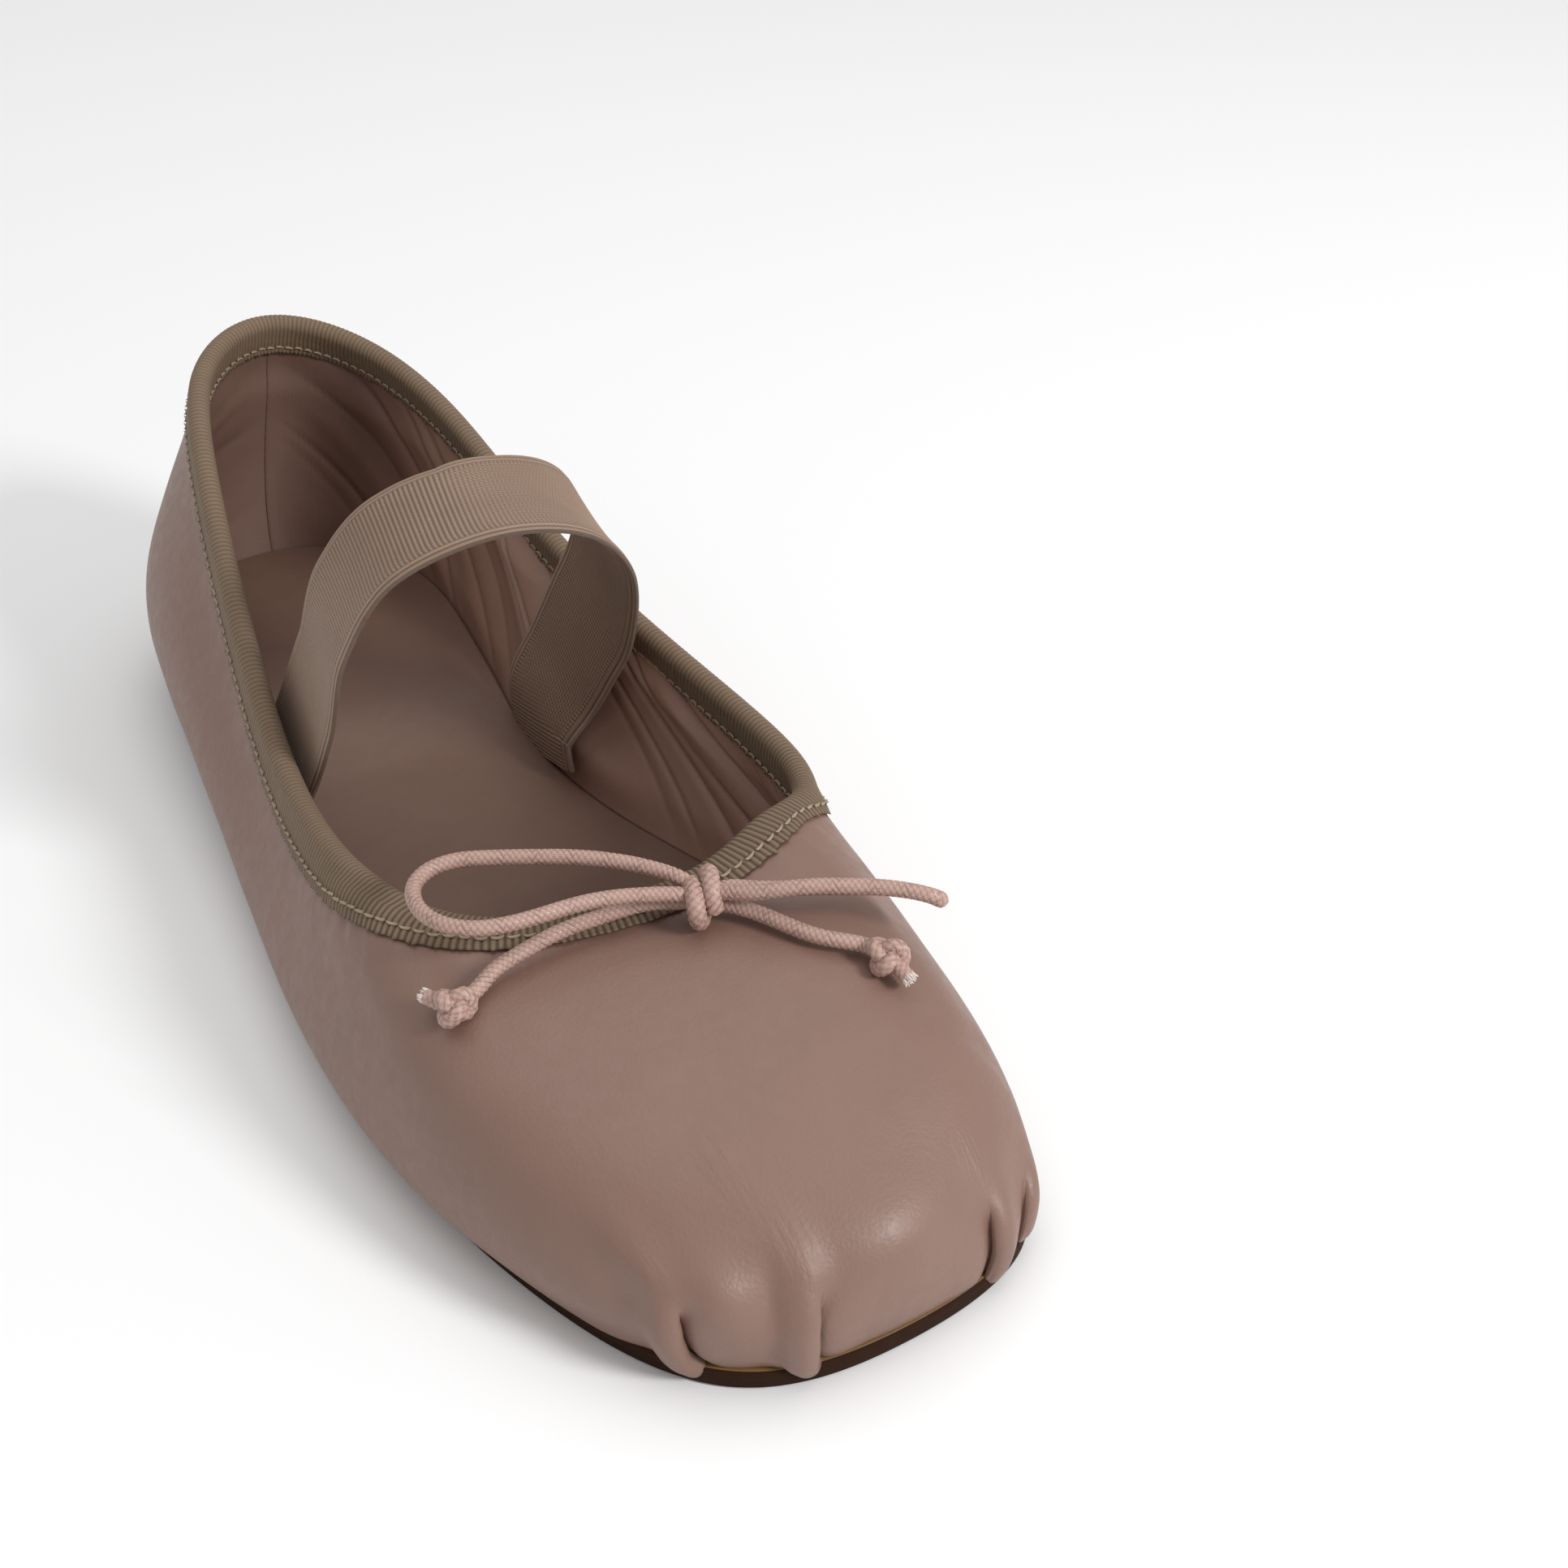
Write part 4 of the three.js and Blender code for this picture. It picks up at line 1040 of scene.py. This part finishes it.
def make_strap():
    nodes = np.array([row[:3] for row in STRAP_ROUTE], float)
    angles = np.radians([row[3:] for row in STRAP_ROUTE])
    dense = catmull_rom(nodes, 40)
    share = np.linspace(0, len(nodes) - 1, len(dense))
    run = lengths(dense)
    length = run[-1]
    steps = round(length / STRAP_RIB * 9)
    goal = np.linspace(0, length, steps + 1)

    def soft(values, reach):
        return softened(values, int(reach / (length / steps)))

    path = np.stack([soft(np.interp(goal, run, dense[:, k]), 3.0) for k in range(3)], -1)
    where = np.interp(goal, run, share)
    turn, tilt = (soft(np.interp(where, np.arange(len(nodes)), angles[:, k]), 11.0) for k in range(2))
    wide = np.stack([np.sin(turn) * np.cos(tilt), np.cos(turn) * np.cos(tilt), np.sin(tilt)], -1)
    tangent = unit(np.gradient(path, axis=0))
    face = unit(np.cross(tangent, wide))
    wide = np.cross(face, tangent)
    half = STRAP_WIDTH / 2
    cords = np.linspace(half - STRAP_EDGE - 0.4, half - 0.25, 14)
    middle = half - STRAP_EDGE - 1.0
    w = np.concatenate([-cords[::-1], np.linspace(-middle, middle, 20), cords])
    flat = path[:, None] + w[None, :, None] * wide[:, None]
    arc = np.cumsum(np.linalg.norm(np.diff(flat, axis=0, prepend=flat[:1]), axis=2), 0)
    lift, value = webbing(w[None], arc * length / arc[-1:])
    cup = 0.35 * (1 - (w / half) ** 2)[None]
    thick = (STRAP_THICK / 2 - 0.05) * (0.5 + 0.5 * smooth(half - np.abs(w), 0, STRAP_EDGE))[None]
    upper = flat + (thick + lift + cup - 0.2)[..., None] * face[:, None]
    under = flat + (-thick - lift + cup - 0.2)[..., None] * face[:, None]
    rim = half * wide
    section = np.concatenate([upper, (path + rim)[:, None], under[:, ::-1], (path - rim)[:, None]], 1)
    # the band's narrow edges get a lower relief value, for painted shade
    edge = np.full((len(goal), 1), 0.6)
    values = np.concatenate([value, edge, value[:, ::-1], edge], 1)
    v = np.concatenate([w, [half], w[::-1] + 60, [half + 60, half + 61]])
    shape = Shape().grid(section, goal, v, around=True, relief=values, caps=True)
    stands_for = ["instep_strap", "strap_tab_lateral", "strap_tab_medial"]
    strap = shape.build("strap", [ELASTIC], "", stands_for, "elastic_webbing")
    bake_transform(strap)


# ---------------- sole, heel and insole
HEEL_BREAST = 76
SOLE_THICK = FOREFOOT_SEAT - GAP
HEEL_SOLE_THICK = 2.4
TOP_PIECE = 2.2
SOCK_THICK = 1.0
BOARD_THICK = 1.2
CUSHION = 1.9  # heel cushion under the insole cover
# Material slots of a plate's underside, edge and upper face.
ONE_MATERIAL = (0, 0, 0)
SOLE_MATERIALS = (2, 0, 1)


def sole_bottom(y):
    raised = seat(y) - GAP - SOLE_THICK + (SOLE_THICK - HEEL_SOLE_THICK) * smooth(y, RAISE_START, RAISE_END)
    return np.where(seat(y) < FOREFOOT_SEAT + GAP, 0, raised)


def sock_bottom(y):
    return seat(y) + LEATHER + GAP + BOARD_THICK + GAP + (CUSHION + GAP) * smooth(y, 30, 52)


def outline(grow, count=560):
    s = np.linspace(0, COUNT, count, endpoint=False)
    return ring(s)[:, :2] + plan_normal(s, 0) * grow


def spine(points, inset):
    """For each outline point, the point of the middle line that its row of quads runs to."""
    y = points[:, 1]
    lines = np.linspace(y.min() + inset, y.max() - inset, 60)
    middle = []
    for line in lines:
        crossing = (points[:, 1] <= line) != (np.roll(points[:, 1], -1) <= line)
        middle.append(points[crossing, 0].mean())
    at = np.clip(y, lines[0], lines[-1])
    return np.stack([np.interp(at, lines, middle), at], -1)


def inward(points, distance, centre):
    return points + unit(centre - points) * distance


def plate(points, bottom, top, inset, bevel_low, bevel_high, slots, rows=14):
    """A plate with rounded edges: bottom and top are heights as functions of x and y."""
    centre = spine(points, inset)
    shares = np.linspace(1, 0, rows) ** 1.4
    columns, kinds = [], []

    def add(plan, height, kind):
        columns.append(np.concatenate([plan, height[:, None]], -1))
        kinds.append(kind)

    def face(level, bevel, kind, order):
        for share in order:
            plan = points + (centre - points) * share
            plan = inward(plan, bevel * (1 - share), centre)
            add(plan, level(plan[:, 0], plan[:, 1]), kind)

    face(bottom, bevel_low, 0, shares)
    low, high = bottom(*points.T), top(*points.T)
    for share in (0.3, 1.0):
        add(inward(points, bevel_low * (1 - share), centre), low + bevel_low * share * 0.8, 1)
    for share in (0.35, 0.65):
        add(points, low + bevel_low * 0.8 + (high - low - 0.8 * (bevel_low + bevel_high)) * share, 1)
    for share in (1.0, 0.3):
        add(inward(points, bevel_high * (1 - share), centre), high - bevel_high * share * 0.8, 1)
    face(top, bevel_high, 2, shares[::-1])
    section = np.stack(columns, 1)
    run = lengths(np.vstack([points, points[:1]]))
    spread = np.median(np.linalg.norm(np.diff(section, axis=1), axis=2), 0)
    v = np.concatenate([[0], np.cumsum(spread)])
    shape = Shape().grid(section, run, v, along=True)
    cell = np.array([slots[k] for k in kinds[1:]])
    shape.slots[0] = np.tile(cell, len(points))
    return shape


def make_bottom():
    sole = outline(0.8)
    shape = plate(sole, lambda x, y: sole_bottom(y), lambda x, y: seat(y) - GAP + 0.1,
                  24, 0.5, 0.35, SOLE_MATERIALS)
    shape.build("sole", [SOLE_EDGE, SOLE_TOP, SOLE_TREAD], "shoe", ["outsole"], "sole_leather")

    def heel_outline(grow, breast):
        whole = outline(grow, 700)
        start = np.argmax((whole[:, 1] <= breast) & (np.roll(whole[:, 1], -1) > breast))
        rolled = np.roll(whole, -start - 1, 0)
        curve = rolled[rolled[:, 1] > breast]
        ends = np.array([[curve[-1, 0], breast], [curve[0, 0], breast]])
        f = np.linspace(0, 1, 60)[:, None]
        bow = np.stack([np.zeros(60), 1.2 * np.sin(math.pi * f[:, 0])], -1)
        return np.vstack([curve, ends[:1] * (1 - f) + ends[1:] * f + bow])

    lift = plate(heel_outline(0.3, HEEL_BREAST), lambda x, y: TOP_PIECE + GAP * 0.3 + 0 * y,
                 lambda x, y: sole_bottom(y) - 0.05, 14, 0.15, 0.15, ONE_MATERIAL)
    lift.build("heel_stack", [SOLE_EDGE], "shoe", ["heel_lift"], "sole_leather")
    tip = plate(heel_outline(0.1, HEEL_BREAST + 1), lambda x, y: 0 * y, lambda x, y: TOP_PIECE + 0 * y,
                14, 0.4, 0.1, ONE_MATERIAL)
    tip.build("heel_tip", [TIP_RUBBER], "shoe", ["heel_top_piece"], "top_piece_rubber")

    s = np.linspace(0, COUNT, 560, endpoint=False)
    depth = LEATHER + STIFFENER + LINING + 3 * GAP
    t = Rim(s).at_rise(depth, 2.8)
    edge = skin(s, t, depth + 0.05)[:, :2]

    def sock_top(x, y):
        bed = -0.5 * bell(y - 86, 26) * bell(x - 1, 16)
        ball = -0.4 * bell(y + 52, 30) * bell(x + 2, 24)
        return sock_bottom(y) + SOCK_THICK + bed + ball

    sock = plate(edge, lambda x, y: sock_bottom(y) - 0.1, sock_top, 22, 0.1, 0.45, ONE_MATERIAL, rows=40)
    sock.build("insole_cover", [SOCK_LEATHER], "shoe", ["sock_lining"], "sock_leather")


make_upper()
make_lining("lining_vamp", -2.35, 2.35, "vamp_lining", VAMP_CLOTH, "vamp_cloth", 0.0)
make_lining("lining_outer", 2.4, 6.998, "quarter_lining_lateral", LINING_LEATHER, "lining_leather", 1.5)
make_lining("lining_inner", 7.002, 11.6, "quarter_lining_medial", LINING_LEATHER, "lining_leather", 2.3)
make_binding()
OUTER_THREAD = -GAP - RIBBON - 0.12
INNER_THREAD = LEATHER + LINING + 2 * GAP + RIBBON + 0.12
make_stitches("stitches_outside", "binding_thread_outer", OUTER_THREAD, 1, 41)
make_stitches("stitches_inside", "binding_thread_inner", INNER_THREAD, -1, 42)
make_strap()
make_bottom()


# ---------------- floor, light and air
AIR_STRENGTH = 0.56
# Each light: name, place, the point it faces, diameter (metres) and power (watts).
LIGHTS = (
    ("key", (0.52, -0.95, 0.74), (0.0, -0.05, 0.02), 0.34, 9.5),
    ("top", (0.1, 0.25, 1.4), (0.0, 0.0, 0.02), 1.6, 6.5),
)


def make_floor():
    half, count = 3.0, 24
    line = np.linspace(-half, half, count)
    x, y = np.meshgrid(line, line, indexing="ij")
    points = np.stack([x, y, np.zeros_like(x)], -1).reshape(-1, 3)
    i, j = np.meshgrid(np.arange(count - 1), np.arange(count - 1), indexing="ij")
    a = (i * count + j).ravel()
    faces = np.stack([a, a + count, a + count + 1, a + 1], -1)
    mesh = bpy.data.meshes.new("floor")
    mesh.from_pydata(points.tolist(), [], faces.tolist())
    material = bpy.data.materials.new("floor_paint")
    material.use_nodes = True
    shader = material.node_tree.nodes["Principled BSDF"]
    shader.inputs["Base Color"].default_value = (0.92, 0.92, 0.92, 1)
    shader.inputs["Roughness"].default_value = 0.9
    mesh.materials.append(material)
    floor = bpy.data.objects.new("floor", mesh)
    bpy.context.collection.objects.link(floor)


def area_light(name, place, aim, size, power):
    data = bpy.data.lights.new(name, "AREA")
    data.shape = "DISK"
    data.size = size
    data.energy = power
    back = unit(np.array(place, float) - np.array(aim, float))
    right = unit(np.cross([0.0, 0.02, 1.0], back))
    add_facing(name, data, right, np.cross(back, right), back, place)


def make_light():
    world = bpy.data.worlds.new("air")
    world.use_nodes = True
    background = world.node_tree.nodes["Background"]
    background.inputs["Color"].default_value = (1, 1, 1, 1)
    background.inputs["Strength"].default_value = AIR_STRENGTH
    bpy.context.scene.world = world
    for light in LIGHTS:
        area_light(*light)
    bpy.context.scene.view_settings.view_transform = "Standard"


make_floor()
make_light()
